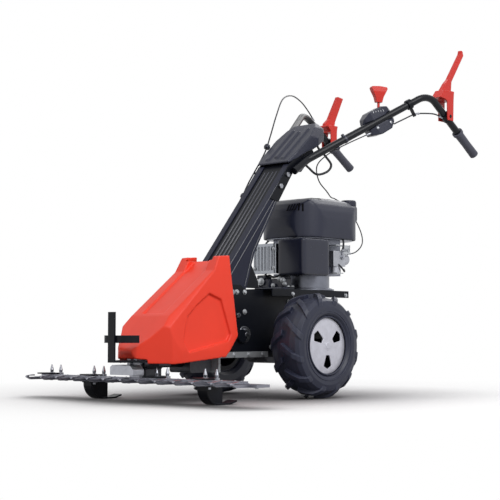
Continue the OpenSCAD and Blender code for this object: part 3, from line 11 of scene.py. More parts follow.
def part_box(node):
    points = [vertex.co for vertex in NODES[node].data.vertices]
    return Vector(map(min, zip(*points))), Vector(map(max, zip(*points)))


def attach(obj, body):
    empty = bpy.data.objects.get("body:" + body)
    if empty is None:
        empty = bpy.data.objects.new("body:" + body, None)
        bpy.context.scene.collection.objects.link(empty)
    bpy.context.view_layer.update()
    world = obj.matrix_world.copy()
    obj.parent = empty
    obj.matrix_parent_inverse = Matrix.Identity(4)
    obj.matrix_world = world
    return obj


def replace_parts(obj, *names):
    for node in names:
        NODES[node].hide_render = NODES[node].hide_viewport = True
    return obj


bl_info = {
    "name": "Sickle Bar Mower",
    "version": (1, 0, 0),
    "blender": (4, 5, 0),
    "location": "View3D > Sidebar > Mower",
    "description": "Dresses the packed mower with finishes, trim and a studio",
    "category": "Object",
}

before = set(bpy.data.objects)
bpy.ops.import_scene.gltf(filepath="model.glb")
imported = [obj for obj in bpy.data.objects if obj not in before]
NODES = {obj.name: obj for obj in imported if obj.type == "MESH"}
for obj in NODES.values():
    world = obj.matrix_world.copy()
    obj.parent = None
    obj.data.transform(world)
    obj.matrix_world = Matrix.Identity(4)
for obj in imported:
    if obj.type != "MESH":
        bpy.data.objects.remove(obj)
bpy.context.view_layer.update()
AXLE_X = sum(corner[0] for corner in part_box("axle_shaft")) / 2
# Height of the wheels' centre
AXLE_Z = 0.165
# Millimetres, the unit of the part's source, in a metre
MM = 1000
# Points closer than this are one
WELD = 1e-6
# Edges that turn by more than this angle stay crisp
CRISP = 0.6


def colour(label, default, words):
    return FloatVectorProperty(name=label, description=words, subtype="COLOR", size=3, min=0, max=1,
                               default=default)


def length(label, default, words):
    return FloatProperty(name=label, description=words, unit="LENGTH", subtype="DISTANCE", min=0,
                         default=default)


class MowerColours(bpy.types.PropertyGroup):
    """Base colours of the finishes"""
    hood_red: colour("Hood red", (0.88, 0.050, 0.022), "Moulded hood")
    lever_red: colour("Lever red", (0.66, 0.024, 0.014), "Clutch levers and throttle knob")
    frame_black: colour("Frame black", (0.0045, 0.0054, 0.0088), "Powder coat on tubes, plates and brackets")
    column_slate: colour("Column slate", (0.017, 0.019, 0.036), "Powder coat on the column beams")
    moulding_black: colour("Moulding black", (0.015, 0.0175, 0.036), "Grained console, pod and shroud")
    tyre_black: colour("Tyre black", (0.016, 0.0185, 0.036), "Tread rubber")
    grip_grey: colour("Grip grey", (0.060, 0.061, 0.082), "Soft grips")
    cover_grey: colour("Cover grey", (0.57, 0.57, 0.64), "Wheel covers")
    steel: colour("Steel", (0.36, 0.37, 0.41), "Shafts, pulleys and bright parts")
    bar_grey: colour("Bar grey", (0.27, 0.275, 0.32), "Cutter bar and knife")
    case_grey: colour("Case grey", (0.20, 0.21, 0.25), "Crankcase and cylinder")
    cast_grey: colour("Cast grey", (0.11, 0.114, 0.128), "Gearbox castings")
    mark_white: colour("Mark white", (0.62, 0.63, 0.66), "Scale marks on the throttle pod")
    shield: colour("Shield", (0.38, 0.40, 0.44), "Pressed muffler shield")
    zinc: colour("Zinc", (0.52, 0.54, 0.57), "Plated bolts, rails and brackets")
    alloy: colour("Alloy", (0.40, 0.41, 0.45), "Engine castings")


class MowerSizes(bpy.types.PropertyGroup):
    """Rounding of edges, and the camera"""
    edge: length("Edge", 0.0012, "Rounding that the finishes show along edges")
    hood_edge: length("Hood edge", 0.005, "Rounding of the moulded hood")
    camera_at: FloatVectorProperty(
        name="Camera", description="Place of the camera from the axle", subtype="TRANSLATION",
        unit="LENGTH", size=3, default=(2.9926, 2.7718, 0.2077))
    camera_turn: FloatProperty(
        name="Turn", description="Direction to the camera round the vertical", subtype="ANGLE",
        default=math.radians(43.42))
    camera_tilt: FloatProperty(
        name="Tilt", description="Upward tilt of the camera", subtype="ANGLE", default=0.066)
    lens: FloatProperty(
        name="Lens", description="Focal length in millimetres on a 36 mm sensor", default=89.35)


def colours():
    return bpy.context.scene.mower_colours


def sizes():
    return bpy.context.scene.mower_sizes


def rgba(value, shade=1.0):
    """A base colour made darker or lighter, for a socket"""
    return (value[0] * shade, value[1] * shade, value[2] * shade, 1.0)


class Graph:
    """Short calls for building one material"""

    def __init__(self, name):
        self.material = bpy.data.materials.new(name)
        self.material.use_nodes = True
        self.tree = self.material.node_tree
        self.shader = self.tree.nodes["Principled BSDF"]
        self.place = self.add("ShaderNodeTexCoord").outputs["Object"]

    def add(self, kind, **values):
        node = self.tree.nodes.new(kind)
        for key, value in values.items():
            setattr(node, key, value)
        return node

    def join(self, out, into):
        self.tree.links.new(out, into)

    def put(self, **values):
        for key, value in values.items():
            self.shader.inputs[key.replace("_", " ")].default_value = value

    def noise(self, scale, detail=3.0, rough=0.55, stretch=None):
        node = self.add("ShaderNodeTexNoise")
        node.inputs["Scale"].default_value = scale
        node.inputs["Detail"].default_value = detail
        node.inputs["Roughness"].default_value = rough
        source = self.place
        if stretch:
            mapping = self.add("ShaderNodeMapping")
            mapping.inputs["Scale"].default_value = stretch
            self.join(self.place, mapping.inputs["Vector"])
            source = mapping.outputs["Vector"]
        self.join(source, node.inputs["Vector"])
        return node.outputs["Fac"]

    def cells(self, scale):
        node = self.add("ShaderNodeTexVoronoi")
        node.inputs["Scale"].default_value = scale
        self.join(self.place, node.inputs["Vector"])
        return node.outputs["Distance"]

    def ramp(self, fac, *stops):
        node = self.add("ShaderNodeValToRGB")
        band = node.color_ramp.elements
        while len(band) < len(stops):
            band.new(0.5)
        for element, (at, value) in zip(band, stops):
            element.position = at
            element.color = value if len(value) == 4 else (*value, 1.0)
        self.join(fac, node.inputs["Fac"])
        return node.outputs["Color"]

    def span(self, fac, low, high):
        node = self.add("ShaderNodeMapRange")
        node.inputs["To Min"].default_value = low
        node.inputs["To Max"].default_value = high
        self.join(fac, node.inputs["Value"])
        return node.outputs["Result"]

    def mix(self, fac, first, second):
        node = self.add("ShaderNodeMix", data_type="RGBA")
        self.join(fac, node.inputs[0])
        for value, socket in ((first, node.inputs[6]), (second, node.inputs[7])):
            if isinstance(value, tuple):
                socket.default_value = value
            else:
                self.join(value, socket)
        return node.outputs[2]

    def round_edges(self, radius):
        node = self.add("ShaderNodeBevel", samples=4)
        node.inputs["Radius"].default_value = radius
        return node.outputs["Normal"]

    def edges(self, radius):
        """A mask that is 1 along convex edges and 0 on flats, which the finishes use to paint a highlight
        along edges
        """
        soft = self.round_edges(radius)
        flat = self.add("ShaderNodeNewGeometry").outputs["Normal"]
        dot = self.add("ShaderNodeVectorMath", operation="DOT_PRODUCT")
        self.join(soft, dot.inputs[0])
        self.join(flat, dot.inputs[1])
        node = self.add("ShaderNodeMapRange")
        node.inputs["From Min"].default_value = 0.995
        node.inputs["From Max"].default_value = 0.86
        self.join(dot.outputs["Value"], node.inputs["Value"])
        return node.outputs["Result"]

    def bump(self, height, strength, distance, normal=None):
        node = self.add("ShaderNodeBump")
        node.inputs["Strength"].default_value = strength
        node.inputs["Distance"].default_value = distance
        self.join(height, node.inputs["Height"])
        if normal:
            self.join(normal, node.inputs["Normal"])
        self.join(node.outputs["Normal"], self.shader.inputs["Normal"])

    def paint(self, out):
        self.join(out, self.shader.inputs["Base Color"])

    def polish(self, out):
        self.join(out, self.shader.inputs["Roughness"])


def powder_coat(name, base, rough, sheen_and_stain, shine=0.22):
    """Sprayed coat with broad tone, fine peel, and edges painted to another shade: a painted highlight along
    edges, partly standing for worn paint
    """
    g = Graph(name)
    broad = g.noise(7.0, 4.0)
    tone = g.mix(broad, rgba(base, 0.75), rgba(base, 1.35))
    # Edges take the base times the last factor, paler on the frame and column: a painted highlight along
    # edges, partly standing for worn paint
    edge_sheen = g.mix(g.edges(0.0016), tone, rgba(base, sheen_and_stain))
    g.paint(edge_sheen)
    g.polish(g.span(g.noise(60.0, 3.0), rough - 0.07, rough + 0.09))
    g.put(Specular_IOR_Level=shine, Coat_Weight=0.06, Coat_Roughness=0.2)
    g.bump(g.noise(900.0, 2.0), 0.10, 0.0004, g.round_edges(sizes().edge))
    return g.material


def moulded_plastic(name, base, rough, grain, edge, shine=0.5, coat=0.0, edge_highlight=1.12):
    """Moulded plastic with a cell grain and edges painted paler as a painted highlight"""
    g = Graph(name)
    tone = g.mix(g.noise(5.0, 3.0), rgba(base, 0.86), rgba(base, 1.14))
    # Edges painted paler than the base: a painted highlight
    g.paint(g.mix(g.edges(edge), tone, rgba(base, edge_highlight)))
    g.polish(g.span(g.noise(35.0, 4.0), rough - 0.05, rough + 0.08))
    g.put(Specular_IOR_Level=shine, Coat_Weight=coat, Coat_Roughness=0.12)
    g.bump(g.cells(1400.0), grain, 0.0003, g.round_edges(edge))
    return g.material


def tread_rubber(name, base, rough):
    """Dusty rubber with edges painted paler: a painted highlight, partly standing for scuffing"""
    g = Graph(name)
    dust = g.noise(14.0, 6.0, 0.65)
    tone = g.mix(dust, rgba(base, 0.7), rgba(base, 1.6))
    # Edges painted much paler than the base: a painted highlight along the lugs, partly standing for scuffing
    g.paint(g.mix(g.edges(0.003), tone, rgba(base, 2.4)))
    g.polish(g.span(g.noise(48.0, 5.0), rough - 0.08, rough + 0.1))
    g.put(Specular_IOR_Level=0.36, Sheen_Weight=0.05, Sheen_Roughness=0.4)
    g.bump(g.noise(420.0, 5.0), 0.22, 0.0006, g.round_edges(0.003))
    return g.material


def bright_metal(name, base, rough, stretch, sheen_and_stain=0.6, metallic=1.0):
    """Brushed or plated metal with stains"""
    g = Graph(name)
    brush = g.noise(320.0, 4.0, 0.6, stretch)
    stain = g.noise(9.0, 5.0)
    tone = g.mix(brush, rgba(base, 0.72), rgba(base, 1.15))
    g.paint(g.mix(g.span(stain, 0.0, sheen_and_stain), tone, rgba(base, 0.62)))
    g.polish(g.span(brush, rough - 0.08, rough + 0.12))
    g.put(Metallic=metallic, Anisotropic=0.25)
    g.bump(brush, 0.10, 0.0003, g.round_edges(sizes().edge))
    return g.material


def cast_metal(name, base, rough, metallic):
    """Cast surface with a coarse skin and edges painted paler: a painted highlight, partly standing for
    rubbed metal
    """
    g = Graph(name)
    tone = g.mix(g.noise(40.0, 6.0, 0.7), rgba(base, 0.7), rgba(base, 1.25))
    # Edges painted paler than the base: a painted highlight, partly standing for rubbed metal
    g.paint(g.mix(g.edges(0.002), tone, rgba(base, 1.5)))
    g.polish(g.span(g.noise(120.0, 4.0), rough - 0.08, rough + 0.1))
    g.put(Metallic=metallic)
    g.bump(g.noise(700.0, 4.0, 0.7), 0.28, 0.0006, g.round_edges(0.002))
    return g.material


FINISHES = {}


def make_finishes():
    c = colours()
    FINISHES.update({
        "hood": moulded_plastic("hood_red", c.hood_red, 0.4, 0.03, sizes().hood_edge, 0.3, 0.05),
        "lever": moulded_plastic("lever_red", c.lever_red, 0.36, 0.03, 0.003, 0.32, 0.06),
        "black": powder_coat("frame_black", c.frame_black, 0.38, 3.2, 0.12),
        "tube": powder_coat("tube_black", c.frame_black, 0.28, 1.0, 0.2),
        "bead": powder_coat("bead_slate", c.column_slate, 0.2, 1.0, 0.6),
        # Near-black for the shroud's vents: painted shade for the dark inside of a slot
        "slot_shade": moulded_plastic("painted_slot_shade", (0.002, 0.002, 0.003), 0.8, 0.02, 0.001, 0.1),
        "mark": moulded_plastic("mark_white", c.mark_white, 0.5, 0.02, 0.001, 0.3),
        "zinc": bright_metal("zinc_plate", c.zinc, 0.3, (1.0, 1.0, 1.0), 0.25, 0.55),
        "slate": powder_coat("column_slate", c.column_slate, 0.42, 2.6, 0.13),
        "moulding": moulded_plastic("moulding_black", c.moulding_black, 0.38, 0.16, 0.004, 0.38),
        "gloss": moulded_plastic("gloss_black", c.moulding_black, 0.24, 0.03, 0.004, 0.36, 0.1),
        "tyre": tread_rubber("tyre_black", c.tyre_black, 0.42),
        "grip": tread_rubber("grip_grey", c.grip_grey, 0.62),
        "cable": tread_rubber("cable_black", c.frame_black, 0.45),
        "cover": cast_metal("cover_grey", c.cover_grey, 0.42, 0.35),
        "steel": bright_metal("bar_steel", c.bar_grey, 0.34, (1.0, 0.03, 1.0)),
        "bright": bright_metal("bright_steel", c.steel, 0.26, (1.0, 1.0, 0.05), 0.3),
        "shield": bright_metal("muffler_shield", c.shield, 0.17, (1.0, 1.0, 0.04), 0.6, 0.95),
        "cast": cast_metal("cast_grey", c.cast_grey, 0.5, 0.6),
        "alloy": cast_metal("alloy", c.alloy, 0.36, 0.9),
        "case": cast_metal("crankcase", c.case_grey, 0.36, 0.85),
    })


DRESS = {
    "hood": ["front_hood"],
    "lever": ["left_lever", "right_lever", "throttle_lever"],
    "black": ["wheel_rims", "left_side_plate", "right_side_plate", "engine_deck", "neck_tube",
              "hold_down_clips", "left_skid", "right_skid", "guard_post", "guard_bow", "head_bracket",
              "handlebar_tubes", "lever_brackets", "cable_stop"],
    "slate": ["column_left_beam", "column_right_beam"],
    "moulding": ["console_cover", "console_base", "engine_shroud", "fuel_cap", "throttle_pod"],
    "gloss": ["air_filter_box"],
    "tyre": ["left_tyre", "right_tyre"],
    "grip": ["grips"],
    "cable": ["cables", "drive_belts"],
    "cover": ["wheel_covers"],
    "steel": ["finger_bar", "knife"],
    "bright": ["axle_shaft", "axle_bearings", "gearbox_input_shaft", "knife_input_shaft", "drive_shaft",
               "crankshaft", "clip_bolts", "skid_bolts", "frame_bolts", "frame_spacers", "knife_idler_arm",
               "knife_idler_pulley", "drive_idler_arm", "drive_idler_pulley", "throttle_arm"],
    "zinc": ["neck_rails"],
    "cast": ["axle_gearbox", "knife_gearbox", "bar_carrier", "gearbox_pulley", "knife_pulley",
             "engine_pulley"],
    "alloy": ["knife_head", "carburettor"],
    "case": ["engine_block"],
    "shield": ["muffler"],
}


def dress(node, finish):
    data = NODES[node].data
    data.materials.clear()
    data.materials.append(FINISHES[finish])
    for face in data.polygons:
        face.material_index = 0


class MOWER_OT_finishes(bpy.types.Operator):
    """Make the finishes and put them on the CAD pieces"""
    bl_idname = "mower.finishes"
    bl_label = "Finishes"

    def execute(self, context):
        make_finishes()
        for finish, nodes in DRESS.items():
            for node in nodes:
                dress(node, finish)
        return {"FINISHED"}


def linked(name, data):
    """A new object in the scene's collection"""
    obj = bpy.data.objects.new(name, data)
    bpy.context.collection.objects.link(obj)
    return obj


def smooth_faces(data, angle=CRISP):
    data.polygons.foreach_set("use_smooth", [True] * len(data.polygons))
    data.set_sharp_from_angle(angle=angle)


def finish_piece(name, mesh, finish, body, edge=0.0):
    """Turn a bmesh into an object that wears a finish and rides on a body"""
    bmesh.ops.remove_doubles(mesh, verts=mesh.verts, dist=WELD)
    bmesh.ops.recalc_face_normals(mesh, faces=mesh.faces)
    data = bpy.data.meshes.new(name)
    mesh.to_mesh(data)
    mesh.free()
    if not data.polygons:
        raise RuntimeError(name + " has no faces")
    smooth_faces(data)
    data.materials.append(FINISHES[finish])
    obj = linked(name, data)
    if edge:
        rounding = obj.modifiers.new("edge", "BEVEL")
        rounding.width = edge
        rounding.segments = 2
        rounding.limit_method = "ANGLE"
        rounding.angle_limit = CRISP
    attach(obj, body)
    return obj


def point(x, y, z):
    """A point of the part's source, measured in millimetres from the axle"""
    return Vector((x / MM + AXLE_X, y / MM, z / MM))


def facing(at, way):
    """Turns local Z along way at the point at"""
    return Matrix.Translation(at) @ Vector(way).normalized().to_track_quat("Z", "Y").to_matrix().to_4x4()


def disc(mesh, place, radius, low, high, top=None, sides=28):
    """A round step from low to high along the place's Z axis"""
    bmesh.ops.create_cone(mesh, cap_ends=True, segments=sides, radius1=radius,
                          radius2=radius if top is None else top, depth=high - low,
                          matrix=place @ Matrix.Translation((0, 0, (low + high) / 2)))


# How far a head sinks into what it is screwed to
SINK = 0.0002


def hex_head(mesh, place, size, high):
    """A washer and a hexagon with its corners taken off"""
    washer, crown = high * 0.28, high * 0.85
    disc(mesh, place, size * 1.32, -SINK, washer)
    disc(mesh, place, size, washer, crown, sides=6)
    disc(mesh, place, size * 0.93, crown, high, size * 0.74, 24)


def screw_head(mesh, place, size, high):
    """A pan head with a cross on it"""
    rim, bar_share = high * 0.6, 0.16
    disc(mesh, place, size, -SINK, rim)
    disc(mesh, place, size, rim, high, size * 0.72)
    for turn in (0, math.pi / 2):
        spot = place @ Matrix.Rotation(turn, 4, "Z") @ Matrix.Translation((0, 0, high))
        bar = Matrix.Diagonal((size, size * bar_share, high * bar_share, 1))
        bmesh.ops.create_cube(mesh, size=1, matrix=spot @ bar)


def bent_tube(mesh, stops, radius, bends, sides=32):
    """Sweep a ring along straight legs and spin it through an arc at each inner stop"""
    way = (stops[1] - stops[0]).normalized()
    ring = bmesh.ops.create_circle(mesh, segments=sides, radius=radius, matrix=facing(stops[0], way))
    edges = list({edge for vert in ring["verts"] for edge in vert.link_edges})
    at = stops[0]
    for i in range(1, len(stops)):
        way = (stops[i] - stops[i - 1]).normalized()
        goal = stops[i]
        inner = i < len(stops) - 1
        if inner:
            onward = (stops[i + 1] - stops[i]).normalized()
            turn = way.angle(onward)
            reach = bends[i - 1] * math.tan(turn / 2)
            goal = stops[i] - way * reach
        made = bmesh.ops.extrude_edge_only(mesh, edges=edges)["geom"]
        verts = {item for item in made if isinstance(item, bmesh.types.BMVert)}
        edges = [item for item in made
                 if isinstance(item, bmesh.types.BMEdge) and verts.issuperset(item.verts)]
        bmesh.ops.translate(mesh, verts=list(verts), vec=goal - at)
        if inner:
            axis = way.cross(onward).normalized()
            swung = bmesh.ops.spin(mesh, geom=edges, cent=goal + axis.cross(way) * bends[i - 1], axis=axis,
                                   angle=turn, steps=12, use_duplicate=False)
            edges = [item for item in swung["geom_last"] if isinstance(item, bmesh.types.BMEdge)]
            goal = stops[i] + onward * reach
        at = goal


def moulded_copy(node, finish, voxel, passes, keep, extra=None):
    """Stand a softened copy in for a moulded CAD shell: fused, remeshed, smoothed and thinned"""
    mesh = bmesh.new()
    mesh.from_mesh(NODES[node].data)
    bmesh.ops.remove_doubles(mesh, verts=mesh.verts, dist=WELD)
    if extra:
        extra(mesh)
    data = bpy.data.meshes.new(node + "_shape")
    mesh.to_mesh(data)
    mesh.free()
    obj = linked(node + "_moulding", data)
    fuse = obj.modifiers.new("fuse", "REMESH")
    fuse.mode = "VOXEL"
    fuse.voxel_size = voxel
    soft = obj.modifiers.new("soft", "SMOOTH")
    soft.factor = 0.5
    soft.iterations = passes
    thin = obj.modifiers.new("thin", "DECIMATE")
    thin.ratio = keep
    done = bpy.data.meshes.new_from_object(obj.evaluated_get(bpy.context.evaluated_depsgraph_get()))
    obj.modifiers.clear()
    obj.data = done
    done.materials.clear()
    done.materials.append(FINISHES[finish])
    smooth_faces(done, 1.2)
    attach(obj, "chassis")
    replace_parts(obj, node)


def block(mesh, low, high):
    """A box between two corners of the part's source"""
    first, last = point(*low), point(*high)
    place = Matrix.Translation((first + last) / 2)
    size = last - first
    bmesh.ops.create_cube(mesh, size=1, matrix=place @ Matrix.Diagonal((*size, 1)))


def sloped_bar(mesh, start, end, across, width, high):
    """A straight bar from start to end, so wide along across and so high on both sides of its line"""
    way = end - start
    side = Vector(across).normalized()
    up = way.cross(side).normalized()
    turn = Matrix((way.normalized(), side, up)).transposed().to_4x4()
    place = Matrix.Translation((start + end) / 2) @ turn
    bmesh.ops.create_cube(mesh, size=1, matrix=place @ Matrix.Diagonal((way.length, width, high, 1)))


def hood_ears(mesh):
    """Inner walls of the two ears beside the notch"""
    for side in (-1, 1):
        block(mesh, (246, side * 58, 419), (288, side * 62, 443))


def shroud_core(mesh):
    """Fill of the shroud's upper hollow, so that its shoulders round off as one moulding"""
    low, high = (Vector(corner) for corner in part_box("engine_shroud"))
    first, last = low + Vector((0.05, 0.04, 0.022)), high - Vector((0.05, 0.04, 0.02))
    place = Matrix.Translation((first + last) / 2)
    bmesh.ops.create_cube(mesh, size=1, matrix=place @ Matrix.Diagonal((*(last - first), 1)))


# Each ridge's place across, width, height, and lower and upper ends along the console
RIDGES = ((0, 16, 11, -64, -176), (34, 20, 9, -58, -186), (-34, 20, 9, -58, -186))
CONSOLE_FOOT, CONSOLE_RISE = (-46, 771.8), 0.9027


def console_ridges(mesh):
    """Raised ridges along the sloping top of the console"""
    for across, width, high, low, top in RIDGES:
        start, end = (point(x, across, CONSOLE_FOOT[1] + (CONSOLE_FOOT[0] - x) * CONSOLE_RISE)
                      for x in (low, top))
        sloped_bar(mesh, start, end, (0, 1, 0), width / MM, high / MM)


class MOWER_OT_mouldings(bpy.types.Operator):
    """Soften the moulded hood, shroud, console, filter box and throttle pod"""
    bl_idname = "mower.mouldings"
    bl_label = "Mouldings"

    def execute(self, context):
        moulded_copy("front_hood", "hood", 0.0014, 26, 0.17, hood_ears)
        moulded_copy("console_cover", "moulding", 0.0017, 14, 0.45, console_ridges)
        moulded_copy("engine_shroud", "moulding", 0.0012, 140, 0.16, shroud_core)
        moulded_copy("air_filter_box", "gloss", 0.0025, 40, 0.5)
        moulded_copy("throttle_pod", "moulding", 0.0013, 12, 0.5)
        return {"FINISHED"}


# Stops of the near tube, its radius, the radii of its two bends, and the run and slope of its grip
TUBE_FOOT, TUBE_KNEE, TUBE_BEND = (-60, 82.8, 737), (-130, 82.8, 783), (-536, 287, 1034)
TUBE_RADIUS, TUBE_BENDS = 0.0125, (0.060, 0.070)
GRIP_RUN, GRIP_SLOPE = 0.330, math.radians(33.3)


class MOWER_OT_tubes(bpy.types.Operator):
    """Sweep the two handlebar tubes through their bends"""
    bl_idname = "mower.tubes"
    bl_label = "Handlebar tubes"

    def execute(self, context):
        stops = [point(*at) for at in (TUBE_FOOT, TUBE_KNEE, TUBE_BEND)]
        stops.append(stops[2] - Vector((math.cos(GRIP_SLOPE), 0, math.sin(GRIP_SLOPE))) * GRIP_RUN)
        mesh = bmesh.new()
        bent_tube(mesh, stops, TUBE_RADIUS, TUBE_BENDS, 40)
        bmesh.ops.holes_fill(mesh, edges=[edge for edge in mesh.edges if edge.is_boundary], sides=0)
        flip = bmesh.ops.duplicate(mesh, geom=mesh.verts[:] + mesh.edges[:] + mesh.faces[:])["geom"]
        bmesh.ops.scale(mesh, vec=(1, -1, 1), verts=[v for v in flip if isinstance(v, bmesh.types.BMVert)])
        tubes = finish_piece("handlebar_pair", mesh, "tube", "chassis")
        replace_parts(tubes, "handlebar_tubes")
        return {"FINISHED"}


# Stops of each cable, as in the part's source, and then each cable's radius
KNIFE_CABLE = [(-596, -287, 1014), (-555, -281, 1046), (-480, -252, 1068), (-385, -213, 1072),
               (-285, -168, 1040), (-200, -122, 965), (-140, -97, 880), (-100, -88, 815), (-20, -83, 712),
               (14, -81, 662), (80, -69, 585)]
DRIVE_CABLE = [(-487.5, 262.7, 960.6), (-520, 275, 965), (-572, 285, 968), (-618.5, 287, 961)]
DRIVE_WIRE = [(-416.2, 226.86, 920.95), (-482, 260, 957.6)]
DRIVE_LOOP = [(-188, 72.7, 852), (-194, 74, 830), (-212, 92, 800), (-226, 104, 772), (-212, 98, 748),
              (-176, 83, 737), (-147, 71, 758), (-139, 60.4, 771)]
THROTTLE_CABLE = [(-337.5, 187.2, 884.3), (-261, 147.7, 844), (-199, 116.5, 806), (-160, 98, 764),
                  (-174, 93, 715), (-225, 86, 682), (-275, 62, 669), (-325, 40, 668), (-378, 46, 645),
                  (-406, 66, 595), (-405, 92, 545), (-375, 116, 508), (-335, 121, 481), (-292, 117.2, 470.2)]
CABLES = [(KNIFE_CABLE, 2.5), (DRIVE_CABLE, 2.5), (DRIVE_WIRE, 2.5), (DRIVE_LOOP, 4.0), (THROTTLE_CABLE, 2.0)]
# Each clip's cable, its share of the way along it and its size
CABLE_CLIPS = ((KNIFE_CABLE, 0.672, 1.5), (KNIFE_CABLE, 0.90, 1.0), (THROTTLE_CABLE, 0.12, 1.0))
ARM_CLIP, ARM_WAY = (-251.5, 144.1, 857.5), (-0.755, 0.348, 0.555)


def smooth_route(stops, steps=8):
    """The smooth curve through a cable's stops"""
    pts = [point(*at) for at in stops]
    out = []
    for i in range(len(pts) - 1):
        a, b, c, d = pts[max(i - 1, 0)], pts[i], pts[i + 1], pts[min(i + 2, len(pts) - 1)]
        for j in range(steps):
            t = j / steps
            out.append(b + (c - a) * (t / 2) + (2 * a - 5 * b + 4 * c - d) * (t * t / 2)
                       + (3 * b - a - 3 * c + d) * (t * t * t / 2))
    return out + [pts[-1]]


def hose(name, routes, finish):
    """Round hoses or cables, one smooth spline each, as one mesh"""
    joined = bmesh.new()
    for route, radius in routes:
        curve = bpy.data.curves.new(name, "CURVE")
        curve.dimensions = "3D"
        curve.bevel_depth = radius / MM
        curve.bevel_resolution = 3
        curve.use_fill_caps = True
        line = curve.splines.new("POLY")
        line.points.add(len(route) - 1)
        for spot, at in zip(line.points, route):
            spot.co = (*at, 1)
        obj = linked(name + "_line", curve)
        shape = bpy.data.meshes.new_from_object(obj.evaluated_get(bpy.context.evaluated_depsgraph_get()))
        joined.from_mesh(shape)
        bpy.data.objects.remove(obj)
    return finish_piece(name, joined, finish, "chassis")


class MOWER_OT_cables(bpy.types.Operator):
    """Run the Bowden cables, their ferrules and the clips that hold them"""
    bl_idname = "mower.cables"
    bl_label = "Cables"

    def execute(self, context):
        routes = [(smooth_route(stops), radius) for stops, radius in CABLES]
        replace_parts(hose("cable_runs", routes, "cable"), "cables")
        mesh = bmesh.new()
        for stops, radius in CABLES[:2] + CABLES[4:]:
            for first, second in ((stops[0], stops[1]), (stops[-1], stops[-2])):
                start = point(*first)
                place = facing(start, point(*second) - start)
                disc(mesh, place, (radius + 1.1) / MM, 0.0005, 0.014)
                disc(mesh, place, (radius + 1.9) / MM, 0.014, 0.019, (radius + 1.0) / MM)
        finish_piece("cable_ferrules", mesh, "bright", "chassis", 0.0004)
        mesh = bmesh.new()
        for stops, at, size in CABLE_CLIPS:
            route = smooth_route(stops)
            i = int(at * (len(route) - 1))
            place = facing(route[i], route[i + 1] - route[i])
            disc(mesh, place, 0.0065 * size, -0.007, 0.007)
            disc(mesh, place, 0.0075 * size, -0.0015, 0.0015)
        arm, along = point(*ARM_CLIP), Vector(ARM_WAY).normalized()
        up = (Vector((0, 0, 1)) - along * along.z).normalized()
        disc(mesh, facing(arm, along), 0.0138, -0.005, 0.005)
        disc(mesh, facing(arm, up), 0.0065, 0.012, 0.0205, 0.005)
        finish_piece("cable_clips", mesh, "gloss", "chassis", 0.001)
        return {"FINISHED"}


def surface(obj, start, way):
    """Where a ray first meets a piece, and the way the surface faces there"""
    tree = BVHTree.FromObject(obj, bpy.context.evaluated_depsgraph_get())
    at, normal, _, _ = tree.ray_cast(start, Vector(way).normalized())
    if at is None:
        raise RuntimeError("nothing of " + obj.name + " lies on that line")
    return at, normal


# Bolts of a side plate: place along and up, and size
PLATE_BOLTS = ((198, 333, 6.0), (163, 333, 6.0), (163, 271, 6.5), (-46, 306, 6.0), (40, 160, 6.0))
# Places along of the deck's and the rails' bolts
DECK_BOLTS, RAIL_BOLTS = (-290, -20), (85, 150, 215)
# Faces of the side plates, the deck's edge and the rails, across from the middle
PLATE_Y, DECK_Y, RAIL_Y, BEAM_Y = 70, 112, 76.2, 65.6
BEAD_LINES = (((283, 345.5), (-52, 756)), ((262, 334), (-62, 741)), ((158, 352), (121, 461), (-37, 712)))
BEAD_RADIUS = 0.0026
RIB_PLACES = (-26, -9, 9, 26)
GUSSET = ((152, 347), (88, 347), (92, 372), (126, 428), (136, 392))


